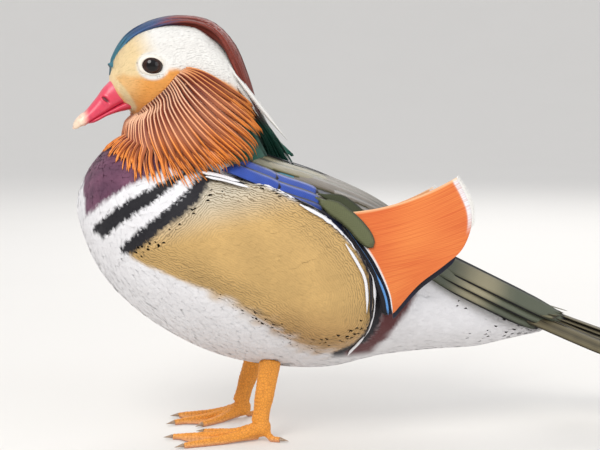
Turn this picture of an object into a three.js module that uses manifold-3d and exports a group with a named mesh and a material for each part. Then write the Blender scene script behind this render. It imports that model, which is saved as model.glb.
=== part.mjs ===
// A standing mandarin drake, life size, in millimetres. +Z is up and the bird faces -X.
// Its left side is towards -Y. The feet stand on Z = 0.
import * as THREE from 'three';
import { LoftGeometry } from 'three/addons/geometries/LoftGeometry.js';
import { mergeVertices } from 'three/addons/utils/BufferGeometryUtils.js';
import Module from 'manifold-3d';

const wasm = await Module();
wasm.setup();

// Driving dimensions
const gap = 0.3;              // clearance between touching pieces
const headTurn = 11;          // degrees the head is turned towards its left
const neckAxis = [-62, 0];    // the upright line that the head turns about, x and y
const footSpread = 26;        // sideways distance of each leg from the middle
const eyeRadius = 6.2;
const farReach = 600;         // size of the blocks that keep one side of a solid

// Side profiles: each station joins a point of the upper line to one of the lower line, as [x, z],
// with the half width there. The first and last stations are points.
const torsoShape = {
  upper: [[-128, 133], [-123, 150], [-112, 165], [-96, 174], [-72, 176], [-46, 165.5], [-18, 154.7],
    [10, 145.7], [40, 132.2], [70, 112.5], [98, 91], [126, 69], [151, 56]],
  lower: [[-128, 133], [-124.5, 117], [-116, 97], [-101, 78.5], [-77, 60], [-47, 45.5], [-14, 38.5],
    [16, 37.5], [44, 43], [74, 45.5], [103, 46.5], [130, 51.5], [151, 56]],
  half: [0, 20, 34.5, 45, 52.5, 55.5, 55.5, 53, 45, 34, 23, 12, 0],
  waist: 0.5, power: 2.15,
};
const neckShape = {
  upper: [[-58, 138], [-98, 158], [-99, 172], [-95, 184], [-88, 197], [-66, 214]],
  lower: [[-58, 138], [-18, 154], [-24, 172], [-30, 186], [-38, 200], [-66, 214]],
  half: [0, 38, 31, 25, 21, 0],
  waist: 0.5, power: 2,
};
const headShape = {
  upper: [[-107.5, 200], [-106, 213], [-98.5, 225], [-86, 232.5], [-69, 234.5], [-53.5, 231], [-41, 220.5],
    [-33, 207], [-30, 196]],
  lower: [[-107.5, 200], [-103, 191], [-97, 185], [-88, 179.5], [-76, 176], [-60, 175], [-45, 178],
    [-35, 185], [-30, 196]],
  half: [0, 11.5, 17, 20.5, 22.5, 22.5, 20, 13.5, 0],
  waist: 0.42, power: 2.1,
};

// Turns any closed geometry into a solid, its vertices moved outwards by grow.
function solid(geometry, grow = 0) {
  const flat = geometry.index ? geometry.toNonIndexed() : geometry;
  const bare = new THREE.BufferGeometry().setAttribute('position', flat.getAttribute('position'));
  const merged = mergeVertices(bare, 1e-3);
  const corners = Array.from(merged.index.array);
  const kept = [];
  for (let i = 0; i < corners.length; i += 3) {
    const [a, b, c] = corners.slice(i, i + 3);
    if (a !== b && b !== c && c !== a) kept.push(a, b, c);
  }
  if (signedVolume(merged, kept) < 0) kept.reverse();
  merged.setIndex(kept);
  const place = merged.getAttribute('position');
  if (grow !== 0) {
    merged.computeVertexNormals();
    const out = merged.getAttribute('normal');
    for (let i = 0; i < place.count; i++) {
      place.setXYZ(i, place.getX(i) + out.getX(i) * grow, place.getY(i) + out.getY(i) * grow,
        place.getZ(i) + out.getZ(i) * grow);
    }
  }
  return new wasm.Manifold(new wasm.Mesh({
    numProp: 3, vertProperties: new Float32Array(place.array), triVerts: new Uint32Array(kept),
  }));
}

function signedVolume(geometry, corners) {
  const place = geometry.getAttribute('position');
  const [a, b, c] = [new THREE.Vector3(), new THREE.Vector3(), new THREE.Vector3()];
  let sum = 0;
  for (let i = 0; i < corners.length; i += 3) {
    a.fromBufferAttribute(place, corners[i]);
    b.fromBufferAttribute(place, corners[i + 1]);
    c.fromBufferAttribute(place, corners[i + 2]);
    sum += a.dot(b.cross(c));
  }
  return sum;
}

// The lines of a body: its upper and lower profile and its half widths, each a closed curve.
function bodyLines(shape) {
  const last = shape.upper.length - 1;
  const at = ([x, z]) => new THREE.Vector3(x, 0, z);
  const across = (w, k) => new THREE.Vector3(k * 10, w, 0);
  const inner = shape.half.slice(1, last);
  return {
    outline: new THREE.CatmullRomCurve3(
      [...shape.upper.map(at), ...shape.lower.slice(1, last).reverse().map(at)], true),
    widths: new THREE.CatmullRomCurve3(
      [...shape.half.map(across), ...inner.map((w, k) => across(-w, k + 1)).reverse()], true),
  };
}

// The surface point of a body at s along it, from 0 to 1, and an angle from its upper line.
function bodyPoint(shape, lines, s, angle) {
  const top = lines.outline.getPoint(s / 2);
  const bottom = lines.outline.getPoint(s === 0 ? 0 : 1 - s / 2);
  const half = s === 0 || s === 1 ? 0 : lines.widths.getPoint(s / 2).y;
  const rise = roundOff(Math.cos(angle), shape.power);
  const point = bottom.clone().lerp(top, shape.waist).lerp(rise > 0 ? top : bottom, Math.abs(rise));
  point.y = half * roundOff(Math.sin(angle), shape.power);
  return point;
}

// A round body lofted between the upper and lower lines of a side profile.
function bodyGeometry(shape, rings, sides) {
  const lines = bodyLines(shape);
  const step = (2 * Math.PI) / sides;
  return new LoftGeometry(Array.from({ length: rings + 1 }, (_, i) => (
    Array.from({ length: sides }, (__, j) => bodyPoint(shape, lines, i / rings, j * step)))));
}

function roundOff(value, power) {
  return Math.sign(value) * Math.abs(value) ** (2 / power);
}

// A shape with its half widths and its upper line pushed out where bulge isn't 0.
function bulged(shape, bulge, rise) {
  return {
    ...shape,
    half: shape.half.map((w, k) => w + bulge[k]),
    upper: shape.upper.map(([x, z], k) => [x, z + (bulge[k] > 0 ? rise : 0)]),
  };
}

// A smooth closed outline in the side view, pushed right through the bird.
function sidePrism(points, grow = 0) {
  const curve = new THREE.SplineCurve([...points, points[0]].map(([x, z]) => new THREE.Vector2(x, z)));
  const centre = new THREE.Box2().setFromPoints(curve.points).getCenter(new THREE.Vector2());
  const rim = curve.getPoints(points.length * 2).slice(0, -1);
  const wide = rim.map((p) => p.clone().sub(centre).setLength(p.distanceTo(centre) + grow).add(centre));
  const block = new THREE.ExtrudeGeometry(new THREE.Shape(wide), { depth: farReach, bevelEnabled: false });
  block.translate(0, 0, -farReach / 2).rotateX(Math.PI / 2);
  return solid(block);
}

// The half of space beyond a plane through point, as a block that starts off by a distance.
function beyond(point, normal, off = 0) {
  const block = new THREE.BoxGeometry(farReach, farReach, farReach);
  const along = new THREE.Vector3(...normal).normalize();
  block.applyQuaternion(new THREE.Quaternion().setFromUnitVectors(new THREE.Vector3(0, 0, 1), along));
  const middle = new THREE.Vector3(...point).addScaledVector(along, farReach / 2 + off);
  block.translate(middle.x, middle.y, middle.z);
  return solid(block);
}

// The largest closed body of a solid
function largest(shape) {
  return shape.decompose().reduce((a, b) => (b.volume() > a.volume() ? b : a));
}

function unite(list) {
  return list.reduce((a, b) => a.add(b));
}

const floorUp = beyond([0, 0, 0], [0, 0, 1]);
const mirrored = (shape) => shape.mirror([0, 1, 0]);
const onSide = (shape, side, inner) => largest(shape.intersect(beyond([0, 0, 0], [0, side, 0], inner)));
const radians = THREE.MathUtils.degToRad;
const { lerp, smoothstep } = THREE.MathUtils;

// Turns a solid about the neck, as the head is turned.
function turned(shape) {
  return shape.translate([-neckAxis[0], -neckAxis[1], 0]).rotate([0, 0, headTurn])
    .translate([neckAxis[0], neckAxis[1], 0]);
}

const thinning = 0.4;         // share of a feather's thickness that is lost by its tip

// A closed blade through stations { at, side, up, half, thick }, a lens of four corners split alike on
// both faces. A last station with no half width ends it in a point.
function blade(stations) {
  const corners = [];
  const rows = stations.map(({ at, side, up, half, thick }) => {
    const place = (across, rise) => corners.push(
      at.clone().addScaledVector(side, across).addScaledVector(up, rise)) - 1;
    if (half === 0) return Array(4).fill(place(0, 0));
    return [place(-half, 0), place(0, thick / 2), place(half, 0), place(0, -thick / 2)];
  });
  const index = [];
  for (let i = 0; i + 1 < rows.length; i++) {
    const [[l, t, r, b], [L, T, R, B]] = [rows[i], rows[i + 1]];
    index.push(l, t, T, l, T, L, t, r, T, r, R, T, l, L, B, l, B, b, r, b, B, r, B, R);
  }
  const [[l, t, r, b], [L, T, R, B]] = [rows[0], rows[rows.length - 1]];
  index.push(l, r, t, l, b, r, L, T, R, L, R, B);
  const geometry = new THREE.BufferGeometry().setFromPoints(corners);
  geometry.setIndex(index);
  return solid(geometry);
}

// Feather outlines: how far along each station is, and its share of the full half width
const roundTip = [[0, 0.5], [0.3, 0.85], [0.62, 1], [0.9, 0.75], [1, 0.25]];
const pointedTip = [[0, 0.5], [0.15, 0.62], [0.42, 0.88], [0.76, 0.9], [1, 0]];
const longPoint = [[0, 0.5], [0.1, 0.75], [0.2, 0.9], [0.3, 1], [0.4, 1], [0.54, 0.92], [0.76, 0.66], [1, 0]];

// A feather or lock along place(t) = { at, up }, thinner towards its tip, rolled so that its neighbour
// on one side lies under its edge
function feather(place, form, half, thick, roll = 0) {
  const near = 0.02;
  return blade(form.map(([t, share]) => {
    const { at, up } = place(t);
    const along = place(Math.min(t + near, 1)).at.sub(place(Math.max(t - near, 0)).at).normalize();
    const side = along.clone().cross(up).normalize();
    const face = side.clone().cross(along).normalize();
    side.applyAxisAngle(along, roll);
    face.applyAxisAngle(along, roll);
    return { at, side, up: face, half: half * share, thick: thick * (1 - thinning * t) };
  }));
}

// A place on a body's surface between two of its [s, angle] points. heights(at, up) gives how far the root
// and the rest of the feather lie above the surface there.
function laid(shape, lines, [s0, angle0], [s1, angle1], heights) {
  const small = 0.004;
  return (t) => {
    const s = lerp(s0, s1, t);
    const angle = radians(lerp(angle0, angle1, t));
    const at = bodyPoint(shape, lines, s, angle);
    const ahead = bodyPoint(shape, lines, Math.min(s + small, 1), angle).sub(
      bodyPoint(shape, lines, s - small, angle));
    const round = bodyPoint(shape, lines, s, angle + small).sub(bodyPoint(shape, lines, s, angle - small));
    const up = ahead.cross(round).normalize();
    const [root, rest] = heights(at, up);
    return { at: at.addScaledVector(up, lerp(root, rest, smoothstep(t, 0, 0.3))), up };
  };
}

// A closed sheet with both faces split alike: point(u, v, target) is its middle.
function sheet(point, across, along, thick) {
  const ends = Array.from({ length: 4 }, () => new THREE.Vector3());
  const near = 1e-3;
  const face = (side) => {
    const row = [];
    for (let j = 0; j <= along; j++) {
      for (let i = 0; i <= across; i++) {
        const [u, v] = [i / across, j / along];
        point(Math.max(u - near, 0), Math.max(v, 0.02), ends[0]);
        point(Math.min(u + near, 1), Math.max(v, 0.02), ends[1]);
        point(u, Math.max(v - near, 0), ends[2]);
        point(u, Math.min(v + near, 1), ends[3]);
        const normal = ends[1].clone().sub(ends[0]).cross(ends[3].clone().sub(ends[2])).normalize();
        row.push(point(u, v, new THREE.Vector3()).addScaledVector(normal, side * thick(u, v) / 2));
      }
    }
    return row;
  };
  const top = face(1);
  const under = top.length;
  const index = [];
  const at = (i, j) => j * (across + 1) + i;
  for (let j = 0; j < along; j++) {
    for (let i = 0; i < across; i++) {
      const [p, q, r, s] = [at(i, j), at(i + 1, j), at(i + 1, j + 1), at(i, j + 1)];
      index.push(p, q, r, p, r, s, p + under, r + under, q + under, p + under, s + under, r + under);
    }
  }
  const rim = [];
  for (let i = 0; i < across; i++) rim.push([at(i, 0), at(i + 1, 0)]);
  for (let j = 0; j < along; j++) rim.push([at(across, j), at(across, j + 1)]);
  for (let i = across; i > 0; i--) rim.push([at(i, along), at(i - 1, along)]);
  for (let j = along; j > 0; j--) rim.push([at(0, j), at(0, j - 1)]);
  for (const [p, q] of rim) index.push(p, p + under, q, q, p + under, q + under);
  const geometry = new THREE.BufferGeometry().setFromPoints([...top, ...face(-1)]);
  geometry.setIndex(index);
  return solid(geometry);
}

function meshOf(name, shape, material) {
  const { numProp, vertProperties, triVerts } = shape.getMesh();
  const place = new Float32Array((vertProperties.length / numProp) * 3);
  for (let i = 0; i < place.length / 3; i++) {
    place.set(vertProperties.subarray(i * numProp, i * numProp + 3), i * 3);
  }
  const geometry = new THREE.BufferGeometry();
  geometry.setAttribute('position', new THREE.BufferAttribute(place, 3));
  geometry.setIndex(new THREE.BufferAttribute(new Uint32Array(triVerts), 1));
  geometry.computeVertexNormals();
  const mesh = new THREE.Mesh(geometry, material);
  mesh.name = name;
  return mesh;
}

// Materials
function finish(color, roughness) {
  return new THREE.MeshStandardMaterial({ color, roughness, metalness: 0 });
}
const materials = {
  body: finish(0xe8e4e0, 0.85), neck: finish(0x6b2d2a, 0.8), head: finish(0xe9e2d0, 0.8),
  bill: finish(0xd8435a, 0.4), eye: finish(0x120c0a, 0.05), crest: finish(0x6e3a2a, 0.6),
  ruff: finish(0xd0723a, 0.7), flank: finish(0xb89a5e, 0.8), wing: finish(0x2f5aa8, 0.55),
  sail: finish(0xe5813c, 0.7), tail: finish(0x5c5a48, 0.7), leg: finish(0xe59a3c, 0.55),
  claw: finish(0xc9b59a, 0.4),
};

// Flesh: torso, rump, neck and head are one form parted by thin cuts
const torsoForm = bodyGeometry(torsoShape, 26, 24);
const neckForm = bodyGeometry(neckShape, 9, 18);
const headForm = bodyGeometry(headShape, 14, 18);
const neckCut = { point: [-62, 0, 163], normal: [-0.12, 0, 1] };
const headCut = { point: [-62, 0, 183], normal: [0, 0, 1] };
const rumpCut = { point: [62, 0, 80], normal: [1, 0, 0.2] };
const above = (cut, off) => beyond(cut.point, cut.normal, off);
const below = (cut, off) => beyond(cut.point, cut.normal.map((n) => -n), off);

const torsoGrown = solid(torsoForm, gap);
const neckGrown = solid(neckForm, gap);
const headGrown = turned(solid(headForm, gap));
const fleshGrown = unite([torsoGrown, neckGrown, headGrown]);

const flesh = unite([solid(torsoForm), solid(neckForm), turned(solid(headForm))]);
const trunk = flesh.intersect(below(neckCut, gap / 2));
const torso = largest(trunk.intersect(below(rumpCut, gap / 2)));
const rump = largest(trunk.intersect(above(rumpCut, gap / 2)));
const neck = largest(flesh.intersect(above(neckCut, gap / 2)).intersect(below(headCut, gap / 2)));

// Eyes: balls set in sockets, with the lids as a low oval rim on the head
const eyePlace = [-84.5, -15.6, 210.8];
const lid = { radius: 5.9, thick: 1.1, long: 1.06, low: 0.86, out: 3.6 };
function eyeball(radius) {
  return solid(new THREE.SphereGeometry(radius, 12, 8).translate(...eyePlace));
}
function lidRing() {
  const ring = new THREE.TorusGeometry(lid.radius, lid.thick, 4, 12).scale(lid.long, lid.low, 1);
  ring.rotateX(Math.PI / 2).rotateZ(radians(-14));
  return solid(ring.translate(eyePlace[0], eyePlace[1] - lid.out, eyePlace[2]));
}
const sockets = turned(unite([eyeball(eyeRadius + gap), mirrored(eyeball(eyeRadius + gap))]));
const lids = turned(unite([lidRing(), mirrored(lidRing())]));
const head = largest(flesh.intersect(above(headCut, gap / 2)).add(lids).subtract(sockets));
const eyeLeft = turned(eyeball(eyeRadius));
const eyeRight = turned(mirrored(eyeball(eyeRadius)));

// Bill: two halves that meet along the mouth line
const billUpperShape = {
  upper: [[-92, 198], [-103, 206], [-111, 200.5], [-116, 194], [-122, 186.8], [-127.5, 181.5],
    [-129.6, 176.5]],
  lower: [[-92, 198], [-95, 193], [-104.5, 189], [-111, 185.3], [-118.5, 181.2], [-125, 177.2],
    [-129.6, 176.5]],
  half: [0, 7.2, 7.2, 6.4, 5.8, 5.1, 0],
  waist: 0.3, power: 2.4,
};
const billLowerShape = {
  upper: [[-90, 190], [-96, 192.5], [-104.5, 188.6], [-111, 184.9], [-118.5, 180.8], [-123.5, 178]],
  lower: [[-90, 190], [-95, 186.5], [-104.5, 184], [-111, 181.8], [-118.5, 178.2], [-123.5, 178]],
  half: [0, 6.6, 6.4, 5.6, 4.8, 0],
  waist: 0.5, power: 2.4,
};
const nostril = { at: [-112, 5, 192.5], size: [2.3, 2, 0.9], slope: -42 };
const billUpperForm = bodyGeometry(billUpperShape, 12, 12);
function nostrilHollow(side) {
  const hollow = new THREE.SphereGeometry(1, 6, 5).scale(...nostril.size).rotateY(radians(nostril.slope));
  return solid(hollow.translate(nostril.at[0], side * nostril.at[1], nostril.at[2]));
}
const billUpper = largest(turned(solid(billUpperForm).subtract(nostrilHollow(1)).subtract(nostrilHollow(-1)))
  .subtract(headGrown));
const billLower = largest(turned(solid(bodyGeometry(billLowerShape, 8, 10))
  .subtract(solid(billUpperForm, gap))).subtract(headGrown));

// Roots: how far a thin layer over the head's skin, that hackles and crest feathers grow from, stands out,
// and where their roots' middles lie in it
const rootLayer = { out: 1.35, middle: 0.85 };
const cheekLayer = unite([solid(headForm, rootLayer.out), solid(neckForm, rootLayer.out)]);

// Ruff: two tiers of hackles that fan from the cheek over the neck.
// Their outer faces end on an envelope. Roots and tips run from the chin round to the nape, as
// [degrees from straight ahead, z].
const ruffShape = {
  upper: [[-62, 214], [-76, 208], [-93, 193], [-99, 181], [-101, 168], [-92, 155], [-62, 147]],
  lower: [[-62, 214], [-46, 207], [-32, 196], [-24, 184], [-20, 170], [-30, 156], [-62, 147]],
  half: [0, 20, 29, 35, 42, 47, 0],
  waist: 0.5, power: 2.2,
};
const ruffRoots = [[2, 184], [18, 186], [34, 192], [48, 199], [58, 207], [74, 210]];
const ruffTips = [[2, 171], [24, 170], [36, 159.5], [50, 154], [68, 152.5], [86, 151], [103, 154],
  [119, 158], [130, 166], [138, 180]];
const hackle = { thick: 0.95, apart: 1.3, half: 3.2, widening: 1.4 };
const hackleTiers = [{ count: 10, reach: 1 }, { count: 9, reach: 0.92 }];
const collarReach = 0.42;
const ruffForm = bodyGeometry(ruffShape, 16, 24);

const bothFaces = (form) => new THREE.Mesh(form, new THREE.MeshBasicMaterial({ side: THREE.DoubleSide }));

// How far a form reaches from the neck's axis, in a direction given in degrees from straight ahead
function reachOf(forms) {
  const skins = forms.map(bothFaces);
  const ray = new THREE.Raycaster();
  return (degrees, z) => {
    const out = new THREE.Vector3(-Math.cos(radians(degrees)), -Math.sin(radians(degrees)), 0);
    ray.set(new THREE.Vector3(neckAxis[0], 0, z).addScaledVector(out, farReach), out.clone().negate());
    const hits = ray.intersectObjects(skins);
    return { out, reach: hits.length ? farReach - hits[0].distance : 0 };
  };
}
const skinReach = reachOf([headForm, neckForm]);
const ruffReach = reachOf([ruffForm]);

function hacklePlace(root, tip, tier, share) {
  return (t) => {
    const degrees = lerp(root[0], tip[0], t * share);
    const z = lerp(root[1], tip[1], t * share);
    const low = ruffReach(degrees, z - 1).reach;
    const high = ruffReach(degrees, z + 1).reach;
    const { out, reach: skin } = skinReach(degrees, z);
    const onSkin = skin + rootLayer.out + gap + hackle.thick / 2 + hackle.apart * tier;
    const inEnvelope = (low + high) / 2 - hackle.thick / 2 - hackle.apart * (1 - tier);
    const reach = lerp(skin + rootLayer.middle, Math.max(onSkin, inEnvelope), smoothstep(t, 0, 0.2));
    const at = new THREE.Vector3(neckAxis[0], 0, z).addScaledVector(out, reach);
    const up = out.clone().setZ(THREE.MathUtils.clamp((low - high) / 2, -0.5, 1)).normalize();
    return { at, up };
  };
}

function ruffSide() {
  const line = (points) => new THREE.SplineCurve(points.map(([a, z]) => new THREE.Vector2(a, z)));
  const [roots, tips] = [line(ruffRoots), line(ruffTips)];
  const hackles = hackleTiers.flatMap(({ count, reach }, tier) => Array.from({ length: count }, (_, i) => {
    const f = (i + 0.5) / count;
    const place = hacklePlace(roots.getPoint(f).toArray(), tips.getPoint(f).toArray(), tier, reach);
    return feather(place, pointedTip, hackle.half + hackle.widening * f, hackle.thick);
  }));
  const seen = (spot) => {
    const { out, reach } = skinReach(spot.x, spot.y);
    return [neckAxis[0] + out.x * (reach + rootLayer.out), spot.y];
  };
  const places = [0, 0.2, 0.4, 0.6, 0.8, 1];
  const upper = places.map((f) => seen(roots.getPoint(f)).map((v, k) => v + [0, 1.5][k]));
  const lower = places.map((f) => seen(roots.getPoint(f).lerp(tips.getPoint(f), collarReach)));
  const collar = cheekLayer.intersect(sidePrism([...upper, ...lower.reverse()]));
  return unite([collar, ...hackles]).intersect(beyond([0, 0, 0], [0, -1, 0], gap / 2));
}
const ruffHalf = ruffSide();
const ruffLeft = largest(turned(ruffHalf).subtract(fleshGrown));
const ruffRight = largest(turned(mirrored(ruffHalf)).subtract(fleshGrown));
const ruffGrown = turned(solid(ruffForm, gap));

// Crest: long feathers of the crown that hang over the nape, laid in three tiers as [s, angle]
const crestShape = {
  upper: [[-109, 206], [-106.5, 217], [-99, 228.5], [-86, 236], [-68, 239.5], [-51, 236.5], [-38.5, 225],
    [-30.5, 208], [-23, 188], [-12, 170], [-1, 159.5]],
  lower: [[-109, 206], [-104, 208], [-96, 218], [-84, 224], [-68, 226], [-52, 222], [-44, 211],
    [-38, 196], [-31, 180], [-18, 166], [-1, 159.5]],
  half: [0, 2.5, 6, 10, 13, 15, 15.5, 14, 10, 5, 0],
  waist: 0.25, power: 2.1,
};
const crestTiers = [
  { start: 0.42, end: 1, lift: -1.5, high: 2.3, half: 5, angles: [-38, 38] },
  { start: 0.32, end: 0.93, lift: -0.6, high: 3.4, half: 5.4, angles: [-78, 0, 78] },
];
const crestThick = 1.4;
const crestDeep = 12;
// Between the two sides' last hackles the crest hangs free: x where that starts, and half its width
const nape = { from: -40, half: 13 };
const crestCapEnd = { point: [-70, 0, 236], normal: [-1, 0, -1.2] };
const crestCore = { sunk: -1.6, lowest: 181 };
const crestForm = bodyGeometry(crestShape, 14, 10);

// How high a form's skin stands above a place, seen along its up direction, if it is near
function heightOf(form) {
  const skin = bothFaces(form);
  return (at, up) => {
    const start = at.clone().addScaledVector(up, crestDeep);
    const ray = new THREE.Raycaster(start, up.clone().negate(), 0, 2 * crestDeep);
    const hits = ray.intersectObject(skin);
    return hits.length ? crestDeep - hits[0].distance : -Infinity;
  };
}
function crestFeathers() {
  const lines = bodyLines(crestShape);
  const skinHeight = heightOf(headForm);
  return crestTiers.flatMap((tier, k) => tier.angles.map((angle, i) => {
    const end = tier.end - 0.035 * ((i + k) % 3);
    const heights = (at, up) => {
      const skin = skinHeight(at, up);
      const root = Math.max(crestCore.sunk, skin + rootLayer.middle);
      return [root, Math.max(tier.lift, skin + tier.high)];
    };
    const place = laid(crestShape, lines, [tier.start, angle], [end, angle], heights);
    return feather(place, longPoint, tier.half, crestThick);
  }));
}
const crestCap = solid(crestForm).intersect(beyond(crestCapEnd.point, crestCapEnd.normal));
const crestMiddle = solid(crestForm, crestCore.sunk).intersect(beyond([0, 0, crestCore.lowest], [0, 0, 1]));
const napeBlock = new THREE.BoxGeometry(farReach, 2 * nape.half, farReach);
napeBlock.translate(nape.from + farReach / 2, 0, 0);
const crest = largest(turned(unite([crestCap, crestMiddle, ...crestFeathers()]).subtract(
  solid(ruffForm, gap).subtract(solid(napeBlock)))).subtract(fleshGrown));
const crestGrown = turned(solid(crestForm, gap));

// Flanks: the side pockets of vermiculated feathers, that lap over the folded wings
const flankBulge = [0, 0, 0.8, 1.4, 2.4, 3.8, 4.8, 5.2, 5.2, 4, 0, 0, 0];
const flankRise = 4;
const flankInner = 10;
const flankOutline = [[-100, 112], [-80, 133], [-60, 152], [-44, 151], [-28, 147], [-5, 136.5], [8, 128.5],
  [18, 118], [28, 106.5], [33.5, 93], [34, 78], [31, 63], [23, 55.5], [10, 53], [-3, 56], [-16, 66],
  [-33, 77.5], [-53, 88.5], [-74, 98]];
const flankForm = bodyGeometry(bulged(torsoShape, flankBulge, flankRise), 26, 24);
const flankBoth = (grow) => solid(flankForm, grow).intersect(sidePrism(flankOutline, grow));
const flanks = flankBoth(0).subtract(fleshGrown).subtract(ruffGrown);
const flankLeft = onSide(flanks, -1, flankInner);
const flankRight = onSide(flanks, 1, flankInner);
const flankGrown = flankBoth(gap);

// Wings: a core under the shoulder feathers, with the folded feathers laid over it in tiers as [s, angle],
// and the long outer flight feathers behind, as [x, y, z]
const wingBulge = [0, 0, 0, 0.8, 1.1, 1.1, 1.1, 1.1, 1.1, 1.1, 1.1, 0.8, 0];
const wingRise = 1.3;
const wingInner = 1.5;
const wingOutline = [[-52, 150], [-44, 163], [-30, 176], [30, 166], [54, 144], [78, 118], [84, 100], [74, 84],
  [60, 77], [46, 66], [34, 57], [20, 80], [-20, 110]];
const wingTiers = [
  { from: [0.41, 30], to: [0.565, 34], step: [0.004, 7.5], count: 4, half: 5.2, lift: 1.4 },
  { from: [0.575, 15], to: [0.79, 16], step: [-0.004, 14], count: 3, half: 7.6, lift: 1.3 },
  { from: [0.5, 11], to: [0.7, 12], step: [-0.008, 13], count: 2, half: 7.6, lift: 3.2 },
  { from: [0.4, 9], to: [0.575, 9], step: [-0.006, 11], count: 3, half: 6.2, lift: 3.2 },
];
const shingleRoll = radians(11);
const wingShape = bulged(torsoShape, wingBulge, wingRise);
const wingForm = bodyGeometry(wingShape, 20, 18);
const vaneThick = 1.1;
const primaries = {
  count: 4, half: 6, thick: 1.3,
  root: [0.71, -48], rootStep: -9.5, bend: [108, -22, 87], bendStep: [-3, -1.6, -5.2],
  tip: [161, -6, 60], tipStep: [-12, -3.4, -0.4],
};
function wingFeathers(grow = 0) {
  const lines = bodyLines(wingShape);
  const thick = vaneThick + 3 * grow;
  return wingTiers.flatMap((tier) => Array.from({ length: tier.count }, (_, i) => {
    const shifted = ([s, angle]) => [s + tier.step[0] * i, -angle - tier.step[1] * i];
    const heights = () => [-vaneThick, tier.lift];
    const place = laid(wingShape, lines, shifted(tier.from), shifted(tier.to), heights);
    return feather(place, roundTip, tier.half + 2 * grow, thick, shingleRoll);
  }));
}
function primaryFeathers() {
  const lines = bodyLines(wingShape);
  const up = new THREE.Vector3(0.25, -0.82, 0.5);
  return Array.from({ length: primaries.count }, (_, i) => {
    const at = (point, step) => new THREE.Vector3(...point).addScaledVector(new THREE.Vector3(...step), i);
    const [s, angle] = primaries.root;
    const root = bodyPoint(wingShape, lines, s, radians(angle + i * primaries.rootStep));
    const path = new THREE.QuadraticBezierCurve3(root, at(primaries.bend, primaries.bendStep),
      at(primaries.tip, primaries.tipStep));
    return feather((t) => ({ at: path.getPoint(t), up }), roundTip, primaries.half, primaries.thick);
  });
}
const wingCore = solid(wingForm).intersect(sidePrism(wingOutline));
const wingWhole = unite([onSide(wingCore, -1, 0), ...wingFeathers(), ...primaryFeathers()]);
const wingHalf = onSide(wingWhole, -1, wingInner);

// Tail: a fan of long feathers in two tiers, wedge shaped, under short cover feathers
const tailShape = {
  upper: [[94, 88], [108, 89], [122, 81.5], [136, 74], [150, 66]],
  lower: [[94, 88], [108, 74], [122, 65], [136, 60], [150, 66]],
  half: [0, 12, 14, 12, 0],
  waist: 0.5, power: 2,
};
const tailFan = {
  count: 10, root: [110, 84], tip: [205, 43.5], spreadRoot: 1.5, spreadTip: 5, shorter: 3.6,
  drop: 1.5, half: 6.2, thick: 0.95,
};
const tailCovers = {
  count: 3, root: [102, 88], tip: [160, 66.5], spreadRoot: 3.4, spreadTip: 6, shorter: 5,
  drop: 1.1, half: 5.5, thick: 0.95,
};
const tailBend = { sag: 1.6, tilt: 0.12, closing: 0.75 };
function fan(set, grow) {
  return Array.from({ length: set.count }, (_, i) => {
    const k = i - (set.count - 1) / 2;
    const far = Math.abs(k) + (k > 0 ? 0.5 : 0);
    const drop = far * set.drop;
    const root = new THREE.Vector3(set.root[0], k * set.spreadRoot, set.root[1] - drop);
    const tip = new THREE.Vector3(set.tip[0] - far * set.shorter, k * set.spreadTip,
      set.tip[1] - drop * tailBend.closing);
    const bend = root.clone().lerp(tip, 0.5).add(new THREE.Vector3(0, 0, -tailBend.sag));
    const path = new THREE.QuadraticBezierCurve3(root, bend, tip);
    const up = new THREE.Vector3(0, k * tailBend.tilt, 1).normalize();
    const place = (t) => ({ at: path.getPoint(t), up });
    return feather(place, roundTip, set.half + 2 * grow, set.thick + 3 * grow);
  });
}
function tailSolid(grow) {
  const core = solid(bodyGeometry(tailShape, 7, 10), grow);
  return unite([core, ...fan(tailFan, grow), ...fan(tailCovers, grow)]);
}
const tail = largest(tailSolid(0).subtract(torsoGrown));
const tailGrown = tailSolid(gap);
const wingCut = (shape) => largest(shape.subtract(fleshGrown).subtract(sidePrism(flankOutline, gap))
  .subtract(ruffGrown).subtract(crestGrown).subtract(tailGrown));
const wingLeft = wingCut(wingHalf);
const wingRight = wingCut(mirrored(wingHalf));

// Sails: the orange fans of the innermost wing feathers, from the shaft to the fringed rear edge, with
// their points as [x, z, y]
const sailShaft = [[45.5, 75, -48.5], [43.5, 86, -49], [36, 103, -48.5], [28, 115.5, -46.5],
  [17, 131, -42.5]];
const sailRear = [[45.5, 75, -48.5], [60, 91, -48], [75, 101.5, -46], [85, 109.5, -44], [90.5, 121, -42],
  [91, 131, -40.5], [87.5, 141, -39], [83, 149.5, -38]];
const sailSag = 4.5;
const sailThick = 1.3;
const farSail = { drop: 8, back: 4 };
function sailSolid(across, along) {
  const curve = (points) => new THREE.CatmullRomCurve3(points.map(([x, z, y]) => new THREE.Vector3(x, y, z)));
  const [shaft, rear] = [curve(sailShaft), curve(sailRear)];
  const point = (u, v, target) => {
    target.lerpVectors(shaft.getPoint(v), rear.getPoint(v), u);
    target.z -= sailSag * v * v * 4 * u * (1 - u);
    return target;
  };
  return sheet(point, across, along, (u) => sailThick * (1 - 0.45 * u));
}
const wingGrown = unite([solid(wingForm, gap), ...wingFeathers(gap)]);
const sailForm = sailSolid(6, 9);
const sailCut = (shape, wing) => largest(shape.subtract(flankGrown).subtract(wing));
const sailLeft = sailCut(sailForm, wingGrown);
const sailFar = mirrored(sailForm).translate([farSail.back, 0, -farSail.drop]);
const sailRight = sailCut(sailFar, mirrored(wingGrown));

// Legs and feet
const ankle = { left: [-26, -footSpread, 11], right: [-33, footSpread, 10] };
const legTop = { left: [-18, -footSpread, 58], right: [-18, footSpread, 58] };

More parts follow.
